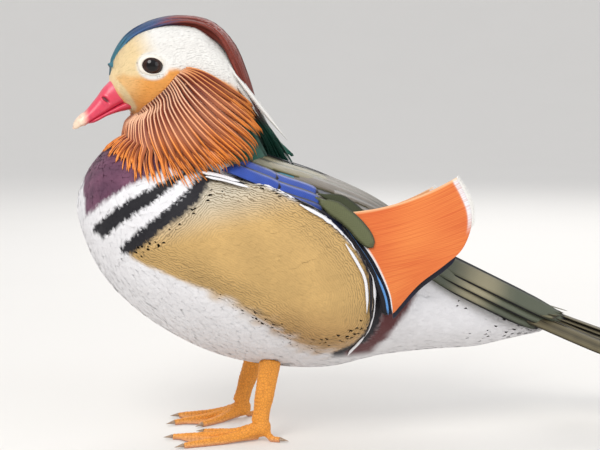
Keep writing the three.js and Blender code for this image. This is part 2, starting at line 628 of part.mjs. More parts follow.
// A rounded limb along points, with half depth up and down and half width sideways at each
function limb(points, sides, rings) {
  const path = new THREE.CatmullRomCurve3(points.map((p) => new THREE.Vector3(...p.at)));
  const size = new THREE.CatmullRomCurve3(points.map((p) => new THREE.Vector3(p.deep, p.wide, 0)));
  const sections = [];
  for (let i = 0; i <= rings; i++) {
    const t = i / rings;
    const middle = path.getPoint(t);
    const along = path.getTangent(t);
    const { x: deep, y: wide } = size.getPoint(t);
    const sideways = new THREE.Vector3(0, 1, 0).cross(along).normalize();
    const flat = along.clone().cross(sideways).normalize();
    sections.push(Array.from({ length: sides }, (_, j) => {
      const angle = (j / sides) * 2 * Math.PI;
      return middle.clone().addScaledVector(sideways, Math.cos(angle) * deep)
        .addScaledVector(flat, Math.sin(angle) * wide);
    }));
  }
  return solid(new LoftGeometry(sections, { capStart: true, capEnd: true }));
}

function legSolid(top, bottom) {
  const between = (t) => top.map((v, i) => v + (bottom[i] - v) * t);
  return limb([
    { at: between(0), deep: 6, wide: 4.4 }, { at: between(0.35), deep: 5.3, wide: 3.7 },
    { at: between(0.7), deep: 4.7, wide: 3.2 }, { at: between(1), deep: 5.2, wide: 3.8 },
  ], 10, 5);
}

// Toes: heading in degrees from straight ahead, positive outwards, with their length
const toeIn = { left: 10, right: 16 };
const toeReach = { left: 1, right: 0.84 };
const toes = [
  { name: 'inner', heading: -21, length: 36 }, { name: 'middle', heading: 0, length: 50 },
  { name: 'outer', heading: 24, length: 45 },
];
const hallux = { heading: 165, length: 12, rise: 8 };
const soleHeight = 1.5;
const webThick = 1.1;
const webLow = 0.5;
const knuckleSize = { deep: 5.6, wide: 4.5, high: 5.6, drop: 3.4 };

function toePoint(joint, side, toe, part, height) {
  const angle = radians(toe.heading - joint.turn);
  const reach = toe.length * part * joint.reach;
  return [joint.at[0] - Math.cos(angle) * reach, joint.at[1] + side * Math.sin(angle) * reach, height];
}

function toeSolid(joint, side, toe) {
  return limb([
    { at: toePoint(joint, side, toe, 0, joint.at[2] - 3.5), deep: 4.2, wide: 3.4 },
    { at: toePoint(joint, side, toe, 0.35, 3.2), deep: 3.2, wide: 2.7 },
    { at: toePoint(joint, side, toe, 0.65, 2.2), deep: 2.7, wide: 2.5 },
    { at: toePoint(joint, side, toe, 1, soleHeight), deep: 1.9, wide: 1.8 },
  ], 6, 4);
}

function webSolid(joint, side) {
  const rim = [];
  toes.forEach((toe, k) => {
    if (k > 0) {
      const before = toes[k - 1];
      const heading = (toe.heading + before.heading) / 2;
      const length = (toe.length + before.length) / 2;
      rim.push(toePoint(joint, side, { heading, length }, 0.84, 0));
    }
    rim.push(toePoint(joint, side, toe, 0.97, 0));
  });
  const outline = new THREE.Shape([joint.at, ...rim].map((p) => new THREE.Vector2(p[0], p[1])));
  const web = new THREE.ExtrudeGeometry(outline, { depth: webThick, bevelEnabled: false });
  return solid(web.translate(0, 0, webLow));
}

function knuckleSolid(joint, grow) {
  const { deep, wide, high, drop } = knuckleSize;
  const ball = new THREE.SphereGeometry(1, 9, 6).scale(deep, wide, high);
  return solid(ball.translate(joint.at[0] + 1, joint.at[1], joint.at[2] - drop), grow);
}

function footSolid(joint, side) {
  const heel = limb([
    { at: [joint.at[0] + 2, joint.at[1], hallux.rise], deep: 2.4, wide: 2 },
    { at: toePoint(joint, side, hallux, 0.58, soleHeight), deep: 2.1, wide: 1.9 },
    { at: toePoint(joint, side, hallux, 1, soleHeight), deep: 1.9, wide: 1.7 },
  ], 6, 4);
  const toeSolids = toes.map((toe) => toeSolid(joint, side, toe));
  const whole = unite([knuckleSolid(joint, 0), webSolid(joint, side), heel, ...toeSolids]);
  return largest(whole.intersect(floorUp).subtract(unite(clawSolids(joint, side, gap))));
}

// Claws: short cones at the toes' tips
const claw = { length: 5.5, radius: 1.25, dip: 8 };
function clawSolids(joint, side, grow) {
  return [...toes, hallux].map((toe) => {
    const tip = toePoint(joint, side, toe, 1, soleHeight);
    const turn = radians(toe.heading - joint.turn) * -side;
    const cone = new THREE.ConeGeometry(claw.radius, claw.length, 8).rotateZ(Math.PI / 2);
    cone.rotateY(radians(-claw.dip)).rotateZ(turn);
    const ahead = claw.length / 2;
    cone.translate(tip[0] - Math.cos(turn) * ahead, tip[1] - Math.sin(turn) * ahead, tip[2]);
    return solid(cone, grow);
  });
}

const joints = {
  left: { at: ankle.left, turn: toeIn.left, reach: toeReach.left },
  right: { at: ankle.right, turn: toeIn.right, reach: toeReach.right },
};
function legPiece(name) {
  const whole = legSolid(legTop[name], ankle[name]);
  return largest(whole.subtract(torsoGrown).subtract(knuckleSolid(joints[name], gap)));
}

const pieces = [
  ['torso', torso, materials.body], ['rump', rump, materials.body],
  ['neck', neck, materials.neck], ['head', head, materials.head],
  ['eye_left', eyeLeft, materials.eye], ['eye_right', eyeRight, materials.eye],
  ['bill_upper', billUpper, materials.bill], ['bill_lower', billLower, materials.bill],
  ['ruff_left', ruffLeft, materials.ruff], ['ruff_right', ruffRight, materials.ruff],
  ['crest', crest, materials.crest],
  ['flank_left', flankLeft, materials.flank], ['flank_right', flankRight, materials.flank],
  ['wing_left', wingLeft, materials.wing], ['wing_right', wingRight, materials.wing],
  ['sail_left', sailLeft, materials.sail], ['sail_right', sailRight, materials.sail],
  ['tail', tail, materials.tail],
];
for (const [name, side] of [['left', -1], ['right', 1]]) {
  pieces.push([`leg_${name}`, legPiece(name), materials.leg]);
  pieces.push([`foot_${name}`, footSolid(joints[name], side), materials.leg]);
  clawSolids(joints[name], side, 0).forEach((tip, k) => {
    pieces.push([`claw_${name}_${k + 1}`, largest(tip.intersect(floorUp)), materials.claw]);
  });
}

// The bird, with its origin on the floor under the middle of its outline
const bird = new THREE.Group();
for (const [name, shape, material] of pieces) bird.add(meshOf(name, shape, material));
const reach = new THREE.Box3().setFromObject(bird);
const middle = reach.getCenter(new THREE.Vector3());
for (const mesh of bird.children) mesh.position.set(-middle.x, -middle.y, -reach.min.z);

export default bird;
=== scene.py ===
import math
import bpy
import numpy as np
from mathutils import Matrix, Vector
from mathutils.bvhtree import BVHTree


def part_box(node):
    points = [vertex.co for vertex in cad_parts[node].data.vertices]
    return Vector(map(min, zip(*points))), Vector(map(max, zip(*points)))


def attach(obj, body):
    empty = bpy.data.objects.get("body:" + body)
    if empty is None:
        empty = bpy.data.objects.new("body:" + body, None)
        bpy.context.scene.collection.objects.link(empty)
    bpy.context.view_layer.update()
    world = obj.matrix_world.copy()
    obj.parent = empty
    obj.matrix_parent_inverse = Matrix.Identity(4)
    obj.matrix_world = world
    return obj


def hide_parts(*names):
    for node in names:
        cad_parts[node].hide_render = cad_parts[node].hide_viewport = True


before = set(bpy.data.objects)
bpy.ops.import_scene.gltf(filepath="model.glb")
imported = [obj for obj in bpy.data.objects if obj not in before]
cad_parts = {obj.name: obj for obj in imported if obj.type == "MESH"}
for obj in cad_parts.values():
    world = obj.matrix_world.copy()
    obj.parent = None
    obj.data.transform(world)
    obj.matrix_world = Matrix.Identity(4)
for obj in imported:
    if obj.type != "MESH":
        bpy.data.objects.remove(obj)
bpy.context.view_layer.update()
scene = bpy.context.scene

# The bird is worked out in millimetres: -X ahead, -Y its left side, +Z up, feet on Z = 0.
bird = {
    "breastX": -128.0,       # the breast's foremost point, which ties these lengths to the frame
    "headTurn": 11.0,        # degrees, towards its left
    "neckAxis": (-62.0, 0.0),
    "bodyMid": 98.0,         # height of the line that the wings' angles are read about
}
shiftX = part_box("torso")[0].x * 1000 - bird["breastX"]


def toFrame(points):
    return (np.asarray(points, float) + (shiftX, 0, 0)) * 0.001


def turn(points, degrees):   # about the neck's upright line
    c, s = math.cos(math.radians(degrees)), math.sin(math.radians(degrees))
    x, y = bird["neckAxis"]
    p = np.array(points, float)
    dx, dy = p[..., 0] - x, p[..., 1] - y
    p[..., 0], p[..., 1] = x + dx * c - dy * s, y + dx * s + dy * c
    return p


def turnWay(ways, degrees):  # turns directions
    c, s = math.cos(math.radians(degrees)), math.sin(math.radians(degrees))
    w = np.array(ways, float)
    x, y = w[..., 0].copy(), w[..., 1].copy()
    w[..., 0], w[..., 1] = x * c - y * s, x * s + y * c
    return w


def rgb(text):               # a screen colour as linear light
    parts = np.array([int(text[i:i + 2], 16) for i in (0, 2, 4)]) / 255
    return np.where(parts <= 0.04045, parts / 12.92, ((parts + 0.055) / 1.055) ** 2.4)


def unit(ways):
    return ways / np.maximum(np.linalg.norm(ways, axis=-1, keepdims=True), 1e-9)


def step(values, low, high):  # a smooth step from 0 to 1
    t = np.clip((np.asarray(values, float) - low) / (high - low), 0, 1)
    return t * t * (3 - 2 * t)


def mix(first, second, share):
    share = np.asarray(share, float)[..., None]
    return first * (1 - share) + second * share


def ripple(points, size, seed):  # soft patches from -1 to 1, about size across
    draw = np.random.default_rng(seed)
    total = 0
    for _ in range(5):
        way = unit(draw.normal(size=3)) * 2 * math.pi / (size * draw.uniform(0.7, 1.5))
        total = total + np.sin(np.asarray(points) @ way + draw.uniform(0, 6.3))
    return total / 3


# Side profiles of the flesh and of the outer forms of ruff and crest, each an upper and a lower line as
# (x, z) with the half width at each station
torsoShape = {
    "upper": [(-128, 133), (-123, 150), (-112, 165), (-96, 174), (-72, 176), (-46, 165.5), (-18, 154.7),
              (10, 145.7), (40, 132.2), (70, 112.5), (98, 91), (126, 69), (151, 56)],
    "lower": [(-128, 133), (-124.5, 117), (-116, 97), (-101, 78.5), (-77, 60), (-47, 45.5), (-14, 38.5),
              (16, 37.5), (44, 43), (74, 45.5), (103, 46.5), (130, 51.5), (151, 56)],
    "half": [0, 20, 34.5, 45, 52.5, 55.5, 55.5, 53, 45, 34, 23, 12, 0], "waist": 0.5, "power": 2.15}
neckShape = {
    "upper": [(-58, 138), (-98, 158), (-99, 172), (-95, 184), (-88, 197), (-66, 214)],
    "lower": [(-58, 138), (-18, 154), (-24, 172), (-30, 186), (-38, 200), (-66, 214)],
    "half": [0, 38, 31, 25, 21, 0], "waist": 0.5, "power": 2}
headShape = {
    "upper": [(-107.5, 200), (-106, 213), (-98.5, 225), (-86, 232.5), (-69, 234.5), (-53.5, 231),
              (-41, 220.5), (-33, 207), (-30, 196)],
    "lower": [(-107.5, 200), (-103, 191), (-97, 185), (-88, 179.5), (-76, 176), (-60, 175), (-45, 178),
              (-35, 185), (-30, 196)],
    "half": [0, 11.5, 17, 20.5, 22.5, 22.5, 20, 13.5, 0], "waist": 0.42, "power": 2.1}
ruffShape = {
    "upper": [(-62, 214), (-76, 208), (-93, 193), (-99, 181), (-101, 168), (-92, 155), (-62, 147)],
    "lower": [(-62, 214), (-46, 207), (-32, 196), (-24, 184), (-20, 170), (-30, 156), (-62, 147)],
    "half": [0, 20, 29, 35, 42, 47, 0], "waist": 0.5, "power": 2.2}
crestShape = {
    "upper": [(-109, 206), (-106.5, 217), (-99, 228.5), (-86, 236), (-68, 239.5), (-51, 236.5),
              (-38.5, 225), (-30.5, 208), (-23, 188), (-12, 170), (-1, 159.5)],
    "lower": [(-109, 206), (-104, 208), (-96, 218), (-84, 224), (-68, 226), (-52, 222), (-44, 211),
              (-38, 196), (-31, 180), (-18, 166), (-1, 159.5)],
    "half": [0, 2.5, 6, 10, 13, 15, 15.5, 14, 10, 5, 0], "waist": 0.25, "power": 2.1}
billUpperShape = {
    "upper": [(-92, 198), (-103, 206), (-111, 200.5), (-116, 194), (-122, 186.8), (-127.5, 181.5),
              (-129.6, 176.5)],
    "lower": [(-92, 198), (-95, 193), (-104.5, 189), (-111, 185.3), (-118.5, 181.2), (-125, 177.2),
              (-129.6, 176.5)],
    "half": [0, 7.2, 7.2, 6.4, 5.8, 5.1, 0], "waist": 0.3, "power": 2.4}
billLowerShape = {
    "upper": [(-90, 190), (-96, 192.5), (-104.5, 188.6), (-111, 184.9), (-118.5, 180.8), (-123.5, 178)],
    "lower": [(-90, 190), (-95, 186.5), (-104.5, 184), (-111, 181.8), (-118.5, 178.2), (-123.5, 178)],
    "half": [0, 6.6, 6.4, 5.6, 4.8, 0], "waist": 0.5, "power": 2.4}


def closedCurve(points, t):   # a smooth closed line through points, at shares t of its number of spans
    points = np.asarray(points, float)
    count = len(points)
    at = (np.asarray(t, float) % 1) * count
    i = np.floor(at).astype(int)
    w = (at - i)[..., None]
    p0, p1, p2, p3 = (points[(i + k) % count] for k in (-1, 0, 1, 2))
    d0, d1, d2 = (np.sqrt(np.linalg.norm(b - a, axis=-1))[..., None]
                  for a, b in ((p0, p1), (p1, p2), (p2, p3)))
    m1 = ((p1 - p0) / d0 - (p2 - p0) / (d0 + d1) + (p2 - p1) / d1) * d1
    m2 = ((p2 - p1) / d1 - (p3 - p1) / (d1 + d2) + (p3 - p2) / d2) * d1
    return p1 + w * (m1 + w * (-3 * p1 + 3 * p2 - 2 * m1 - m2 + w * (2 * p1 - 2 * p2 + m1 + m2)))


def bodyPoints(shape, s, angle):   # s from 0 to 1 along a form, angle in radians from its upper line
    upper, lower, half = shape["upper"], shape["lower"], shape["half"]
    outline = list(upper) + list(lower[1:-1])[::-1]
    widths = [(k * 10, w) for k, w in enumerate(half)]
    widths += [(k * 10, -w) for k, w in enumerate(half)][1:-1][::-1]
    s, angle = np.broadcast_arrays(np.asarray(s, float), np.asarray(angle, float))
    top, low = closedCurve(outline, s / 2), closedCurve(outline, 1 - s / 2)
    wide = closedCurve(widths, s / 2)[..., 1]
    rise = np.sign(np.cos(angle)) * np.abs(np.cos(angle)) ** (2 / shape["power"])
    side = np.sign(np.sin(angle)) * np.abs(np.sin(angle)) ** (2 / shape["power"])
    middle = low + (top - low) * shape["waist"]
    flat = middle + (np.where(rise[..., None] > 0, top, low) - middle) * np.abs(rise)[..., None]
    return np.stack([flat[..., 0], wide * side, flat[..., 1]], -1)


def readLine(values, line):   # the second numbers of a line's points, read at values of the first
    return np.interp(values, *np.array(line, float).T)


def ringFaces(rows, sides, turned=False, closed=False):    # four-sided faces between rings of points
    at = lambda i, j: (i % rows) * sides + j % sides
    faces = [(at(i, j), at(i, j + 1), at(i + 1, j + 1), at(i + 1, j))
             for i in range(rows if closed else rows - 1) for j in range(sides)]
    return [(a, d, c, b) for a, b, c, d in faces] if turned else faces


def capFaces(first, sides, end, turned=False):    # triangles from a ring to the point that ends it
    pairs = [(first + j, first + (j + 1) % sides) for j in range(sides)]
    return [(b, a, end) if turned else (a, b, end) for a, b in pairs]


def loft(shape, rings, sides):     # vertices and faces of a closed form
    s = np.linspace(0, 1, rings + 1)[1:-1]
    angle = np.linspace(0, 2 * math.pi, sides, endpoint=False)
    grid = bodyPoints(shape, s[:, None], angle[None, :]).reshape(-1, 3)
    ends = bodyPoints(shape, np.array([0.0, 1.0]), np.zeros(2))
    faces = ringFaces(rings - 1, sides) + capFaces(0, sides, len(grid), turned=True)
    return np.vstack([grid, ends]), faces + capFaces((rings - 2) * sides, sides, len(grid) + 1)


def addMesh(name, points, faces, smooth=True):
    mesh = bpy.data.meshes.new(name)
    mesh.from_pydata(np.asarray(points, float).tolist(), [], [tuple(map(int, f)) for f in faces])
    mesh.update()
    thing = bpy.data.objects.new(name, mesh)
    scene.collection.objects.link(thing)
    if smooth:
        mesh.polygons.foreach_set("use_smooth", np.ones(len(mesh.polygons), bool))
    return thing


def meshPoints(mesh):
    points = np.empty(len(mesh.vertices) * 3)
    mesh.vertices.foreach_get("co", points)
    return points.reshape(-1, 3)


def moveMesh(mesh, points):
    mesh.vertices.foreach_set("co", np.ascontiguousarray(points).ravel())
    mesh.update()


def meshNormals(mesh):
    normals = np.empty(len(mesh.vertices) * 3)
    mesh.vertices.foreach_get("normal", normals)
    return normals.reshape(-1, 3)


def putColours(mesh, name, colours):
    layer = mesh.attributes.new(name, "FLOAT_COLOR", "POINT")
    layer.data.foreach_set("color", np.hstack([colours, np.ones((len(colours), 1))]).ravel())


def putVectors(mesh, name, vectors):
    layer = mesh.attributes.new(name, "FLOAT_VECTOR", "POINT")
    layer.data.foreach_set("vector", np.ascontiguousarray(vectors).ravel())


class Surface:                # a form that feathers lie on: nearest points with soft normals
    def __init__(self, points, faces):
        points = np.asarray(points, float)
        self.tree = BVHTree.FromPolygons(points.tolist(), [list(map(int, f)) for f in faces])
        first, second, third = ([f[k] for f in faces] for k in (0, 1, 2))
        flat = np.cross(points[second] - points[first], points[third] - points[first])
        soft = np.zeros_like(points)
        for corner in (first, second, third):
            np.add.at(soft, corner, flat)
        soft = unit(soft)
        self.normals = unit(soft[first] + soft[second] + soft[third])

    def near(self, points):
        found = [self.tree.find_nearest(p) for p in np.asarray(points).tolist()]
        return np.array([f[0] for f in found]), self.normals[[f[2] for f in found]]

    def cast(self, start, way):
        found = [self.tree.ray_cast(Vector(a), Vector(b)) for a, b in zip(start.tolist(), way.tolist())]
        return (np.array([f[0] if f[0] else (np.nan,) * 3 for f in found], float),
                self.normals[[f[2] if f[0] else 0 for f in found]])


# Shader maths: a socket that can be summed and scaled
class Wire:
    def __init__(self, paint, socket):
        self.paint, self.socket = paint, socket

    def maths(self, operation, *others):
        return self.paint.node("ShaderNodeMath", {"operation": operation}, dict(enumerate(others)))

    def __add__(self, other):
        return self.maths("ADD", self, other)

    def __radd__(self, other):
        return self.maths("ADD", other, self)

    def __sub__(self, other):
        return self.maths("SUBTRACT", self, other)

    def __rsub__(self, other):
        return self.maths("SUBTRACT", other, self)

    def __mul__(self, other):
        return self.maths("MULTIPLY", self, other)

    def __rmul__(self, other):
        return self.maths("MULTIPLY", other, self)

    def __truediv__(self, other):
        return self.maths("DIVIDE", self, other)

    def sine(self):
        return self.maths("SINE", self)

    def size(self):
        return self.maths("ABSOLUTE", self)

    def above(self, low, high):     # 0 below low, 1 above high
        return self.paint.node("ShaderNodeMapRange", {"interpolation_type": "SMOOTHSTEP"},
                               {"Value": self, "From Min": low, "From Max": high})


class Paint:                  # a material of nodes
    def __init__(self, name, **settings):
        self.material = bpy.data.materials.new(name)
        self.material.use_nodes = True
        self.tree = self.material.node_tree
        self.shader = self.tree.nodes["Principled BSDF"]
        for key, value in settings.items():
            self.shader.inputs[key.replace("_", " ")].default_value = value

    def node(self, kind, settings=None, values=None, output=0):
        node = self.tree.nodes.new(kind)
        for key, value in (settings or {}).items():
            if key == "stops":
                ramp = node.color_ramp
                while len(ramp.elements) < len(value):
                    ramp.elements.new(0.5)
                for stop, (place, colour) in zip(ramp.elements, value):
                    stop.position, stop.color = place, (*colour, 1)
            else:
                setattr(node, key, value)
        for key, value in (values or {}).items():
            if isinstance(value, Wire):
                self.tree.links.new(value.socket, node.inputs[key])
            else:
                node.inputs[key].default_value = value
        return Wire(self, node.outputs[output])

    def attribute(self, name, output="Color"):
        return self.node("ShaderNodeAttribute", {"attribute_name": name}, output=output)

    def split(self, vector):
        node = self.tree.nodes.new("ShaderNodeSeparateXYZ")
        self.tree.links.new(vector.socket, node.inputs[0])
        return [Wire(self, socket) for socket in node.outputs]

    def noise(self, vector, scale, detail=2.0):
        return self.node("ShaderNodeTexNoise", {}, {"Vector": vector, "Scale": scale, "Detail": detail})

    def blend(self, share, first, second, how="MIX"):
        full = lambda c: c if isinstance(c, Wire) else (*c, 1)
        return self.node("ShaderNodeMix", {"data_type": "RGBA", "blend_type": how},
                         {0: share, 6: full(first), 7: full(second)}, output=2)

    def place(self):
        return self.node("ShaderNodeTexCoord", output="Object")

    def bump(self, height, strength, distance):
        return self.node("ShaderNodeBump", {}, {"Height": height, "Strength": strength, "Distance": distance})

    def feed(self, key, wire):
        self.tree.links.new(wire.socket, self.shader.inputs[key])


def plumagePaint(name, barbs, deep, rough=0.62, sheen=0.15, lift=0.35, lines=None, rims=False, ridge=None):
    # colour comes with the feathers; fine slanting barbs are added, on the flanks wavy dark lines, on the
    # wings dark rims, and on the ruff dark rust sides beside each pale ridge, with painted shade between
    # hackles
    paint = Paint(name, Roughness=rough, Sheen_Weight=sheen, Specular_IOR_Level=0.3)
    along, across, lot = paint.split(paint.attribute("vane", "Vector"))
    wander = paint.noise(paint.place(), 900.0)
    barb = ((along + across.size() * 0.9) * barbs + wander * 4.0 + lot * 9.0).sine() * 0.5 + 0.5
    shade = 1 - deep * (1 - barb)
    tone = paint.node("ShaderNodeCombineColor", {}, {"Red": shade, "Green": shade, "Blue": shade})
    colour = paint.attribute("tint")
    if lines:
        run, share, _ = paint.split(paint.attribute("wave", "Vector"))
        bend = paint.noise(paint.place(), lines["bends"]) * lines["wander"]
        crinkle = paint.noise(paint.place(), lines["crinkles"]) * lines["crinkle"]
        line = ((run / lines["apart"] + bend + crinkle) * (2 * math.pi)).sine().above(0.0, 0.85)
        colour = paint.blend(line * share, colour, lines["dark"])
    if rims:
        share, edge, _ = paint.split(paint.attribute("form", "Vector"))
        rim = paint.node("ShaderNodeMath", {"operation": "MAXIMUM"},
                         {0: edge.size().above(0.78, 0.88), 1: share.above(0.93, 0.96)})
        colour = paint.blend(rim, colour, paint.attribute("rim"))
    # the ruff's dark sides are partly the hackles' rust and partly painted shade in the gaps between them,
    # fainter towards the tips
    if ridge:
        gap = across.size().above(ridge["narrow"], ridge["wide"])
        gap = gap * (1 - ridge["faint"] * along.above(14.0, 30.0))
        colour = paint.blend(gap, colour, ridge["gap"], "MULTIPLY")
    paint.feed("Base Color", paint.blend(1.0, colour, tone, "MULTIPLY"))
    paint.feed("Normal", paint.bump(barb, lift, 0.00015))
    return paint.material


def grainPaint(name, scale, detail, share, first, second, lift, **settings):
    # a grain of two colours, the first of them with the piece where it is None
    paint = Paint(name, **settings)
    grain = paint.noise(paint.place(), scale, detail)
    first = paint.attribute("tint") if first is None else first
    paint.feed("Base Color", paint.blend(grain * share, first, second))
    paint.feed("Normal", paint.bump(grain, lift, 0.0002))
    return paint.material


# Cross sections of feathers, as shares of the half width and the half thickness
sections = {
    "lens": [(-1, 0), (0, 1), (1, 0), (0, -1)],
    "vane": [(-1, 0), (-0.5, 0.75), (0, 1.2), (0.5, 0.75), (1, 0), (0.5, -0.7), (0, -1), (-0.5, -0.7)],
    "hackle": [(-1, -0.4), (-0.55, 0.1), (-0.2, 0.95), (0, 1.4), (0.2, 0.95), (0.55, 0.1), (1, -0.4),
               (0, -1)],
}
bakeLook = {"patch": 0.003, "start": -140.0, "length": 360.0, "headMiddle": (-66, 0, 205)}
mostTriangles = 190000        # in one piece


def unwrapBody(roots):        # along the bird and round it
    turns = np.arctan2(roots[:, 1], roots[:, 2] - bird["bodyMid"]) / (2 * math.pi) + 0.5
    return np.stack([(roots[:, 0] - bakeLook["start"]) / bakeLook["length"], turns], -1)


def unwrapHead(roots):        # round the head's middle
    ways = unit(roots - bakeLook["headMiddle"])
    return np.stack([np.arctan2(ways[:, 1], -ways[:, 0]) / (2 * math.pi) + 0.5,
                     np.arccos(np.clip(ways[:, 2], -1, 1)) / math.pi], -1)


def ownCells(roots):          # a cell each, in rows, for big feathers
    rows = math.ceil(math.sqrt(len(roots)))
    k = np.arange(len(roots))
    return np.stack([(k % rows + 0.5) / rows, (k // rows + 0.5) / rows], -1)


def featherFaces(stations, wide):     # triangles of one feather, closed at its root and tip
    triangles = []
    for i in range(stations - 2):
        for j in range(wide):
            a, b = i * wide + j, i * wide + (j + 1) % wide
            triangles += [(a, b, b + wide), (a, b + wide, a + wide)]
    triangles += capFaces((stations - 2) * wide, wide, (stations - 1) * wide)
    triangles += [(0, j + 1, j) for j in range(1, wide - 1)]
    return np.array(triangles)


def featherMesh(name, points, faces):
    mesh = bpy.data.meshes.new(name)
    mesh.vertices.add(len(points))
    mesh.vertices.foreach_set("co", toFrame(points).ravel())
    mesh.loops.add(faces.size)
    mesh.loops.foreach_set("vertex_index", faces.ravel().astype(np.int32))
    mesh.polygons.add(len(faces))
    mesh.polygons.foreach_set("loop_start", np.arange(0, faces.size, 3, dtype=np.int32))
    mesh.polygons.foreach_set("use_smooth", np.ones(len(faces), bool))
    mesh.update(calc_edges=True)
    mesh.validate()
    return mesh


def pointed(t, root, full, narrow, end=1.05):    # share of the half width of a pointed feather along it
    return (root + (1 - root) * step(t, 0, full)) * (1 - step(t, narrow, end))


def plainTint(shades):        # one colour, or a row of one for each feather
    return lambda points, share, edge, lots: np.broadcast_to(shades, points.shape) * 1.0


def addFeathers(name, centre, up, half, thick, tint, paint, section="lens", unwrap=unwrapBody, rolls=0.0,
                patch=bakeLook["patch"], wave=None, soft=0.0, rims=None):
    # centre and up are (feathers, stations, 3), half and thick (feathers, stations), in mm. The last
    # station is the tip, one point. tint(points, along, across, lot) gives colours, and soft is how far
    # the shading follows the form below instead of each feather, except on undersides.
    count, stations = centre.shape[:2]
    half, thick = (np.broadcast_to(value, (count, stations)) for value in (half, thick))
    loop = np.array(sections[section], float)
    wide = len(loop)
    ahead = unit(np.gradient(centre, axis=1))
    side = unit(np.cross(ahead, up))
    face = unit(np.cross(side, ahead))
    roll = np.broadcast_to(np.asarray(rolls, float), (count,))[:, None, None]
    side, face = side * np.cos(roll) + face * np.sin(roll), face * np.cos(roll) - side * np.sin(roll)
    rows = (centre[:, :-1, None] + side[:, :-1, None] * (half[:, :-1, None] * loop[:, 0])[..., None]
            + face[:, :-1, None] * (thick[:, :-1, None] * 0.5 * loop[:, 1])[..., None])
    points = np.concatenate([rows.reshape(count, -1, 3), centre[:, -1:]], 1)
    perFeather = points.shape[1]
    spans = np.linalg.norm(np.diff(centre, axis=1), axis=2)
    run = np.concatenate([np.zeros((count, 1)), np.cumsum(spans, 1)], 1)
    lot = np.random.default_rng(len(name) + count).random(count)
    along = np.concatenate([np.repeat(run[:, :-1], wide, 1), run[:, -1:]], 1)
    across = np.concatenate([(half[:, :-1, None] * loop[:, 0]).reshape(count, -1), np.zeros((count, 1))], 1)
    lots = np.repeat(lot[:, None], perFeather, 1)
    triangles = featherFaces(stations, wide)
    first = points[0][triangles]
    if np.einsum("ij,ij->i", first[:, 0], np.cross(first[:, 1], first[:, 2])).sum() < 0:
        triangles = triangles[:, ::-1]
    share = along / np.maximum(run[:, -1:], 1e-6)
    edge = across / np.maximum(half.max(1)[:, None], 1e-6)
    colours = tint(points, share, edge, lots)
    uv = np.clip(unwrap(centre[:, 0])[:, None] + np.stack([edge * 0.5, share - 0.5], -1) * patch, 0, 1)
    vane = np.stack([along, across, lots], -1)
    waves = wave(points) if wave else None
    rest = np.concatenate([np.repeat(up[:, :-1], wide, 1), up[:, -1:]], 1)
    made = []
    most = max(1, mostTriangles // len(triangles))
    for first in range(0, count, most):
        part = slice(first, min(first + most, count))
        number = part.stop - part.start
        faces = (triangles[None] + np.arange(number)[:, None, None] * perFeather).reshape(-1, 3)
        mesh = featherMesh(name, points[part].reshape(-1, 3), faces)
        if soft:
            own = meshNormals(mesh).reshape(number, perFeather, 3)
            calm = soft * step((own * rest[part]).sum(-1), -0.7, -0.2)[..., None]
            own = unit(own * (1 - calm) + rest[part] * calm)
            mesh.normals_split_custom_set_from_vertices(own.reshape(-1, 3).tolist())
        bakeMap = mesh.uv_layers.new(name="OFBake")
        bakeMap.data.foreach_set("uv", uv[part].reshape(-1, 2)[faces.ravel()].ravel())
        putColours(mesh, "tint", colours[part].reshape(-1, 3))
        putVectors(mesh, "vane", vane[part].reshape(-1, 3))
        if wave:
            putVectors(mesh, "wave", waves[part].reshape(-1, 3))
        if rims is not None:
            putVectors(mesh, "form", np.stack([share, edge, lots], -1)[part].reshape(-1, 3))
            putColours(mesh, "rim", np.repeat(rims[part], perFeather, 0))
        mesh.materials.append(paint)
        thing = bpy.data.objects.new(f"{name}_{len(made) + 1}" if count > most else name, mesh)
        scene.collection.objects.link(thing)
        made.append(thing)
    print(name, count, "feathers", count * len(triangles), "triangles")
    return made


def settle(pieces, slot, *nodes):    # the pieces move with the bird, and the model's parts named in nodes are hidden
    for piece in pieces:
        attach(piece, "root")
        if nodes:
            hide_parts(*nodes)
    return pieces


def lineGap(points, line):    # distance in the side view to a line of (x, z)
    p = np.asarray(points)[..., (0, 2)]
    line = np.asarray(line, float)
    best = np.full(p.shape[:-1], 1e9)
    for a, b in zip(line[:-1], line[1:]):
        part = np.clip(((p - a) @ (b - a)) / ((b - a) @ (b - a)), 0, 1)
        best = np.minimum(best, np.linalg.norm(p - a - part[..., None] * (b - a), axis=-1))
    return best


def within(points, outline):  # distance inside an outline in the side view, below 0 outside
    x, z = np.asarray(points)[..., 0], np.asarray(points)[..., 2]
    odd = np.zeros(x.shape, bool)
    ends = np.vstack([outline, outline[:1]]).astype(float)
    for (x0, z0), (x1, z1) in zip(ends[:-1], ends[1:]):
        crossing = (z0 > z) != (z1 > z)
        odd ^= crossing & (x < x0 + (z - z0) * (x1 - x0) / (z1 - z0 if z1 != z0 else 1e-9))
    return lineGap(points, ends) * np.where(odd, 1, -1)


def rounded(outline, parts=4):
    outline = np.asarray(outline, float)
    return closedCurve(outline, np.arange(len(outline) * parts) / (len(outline) * parts))


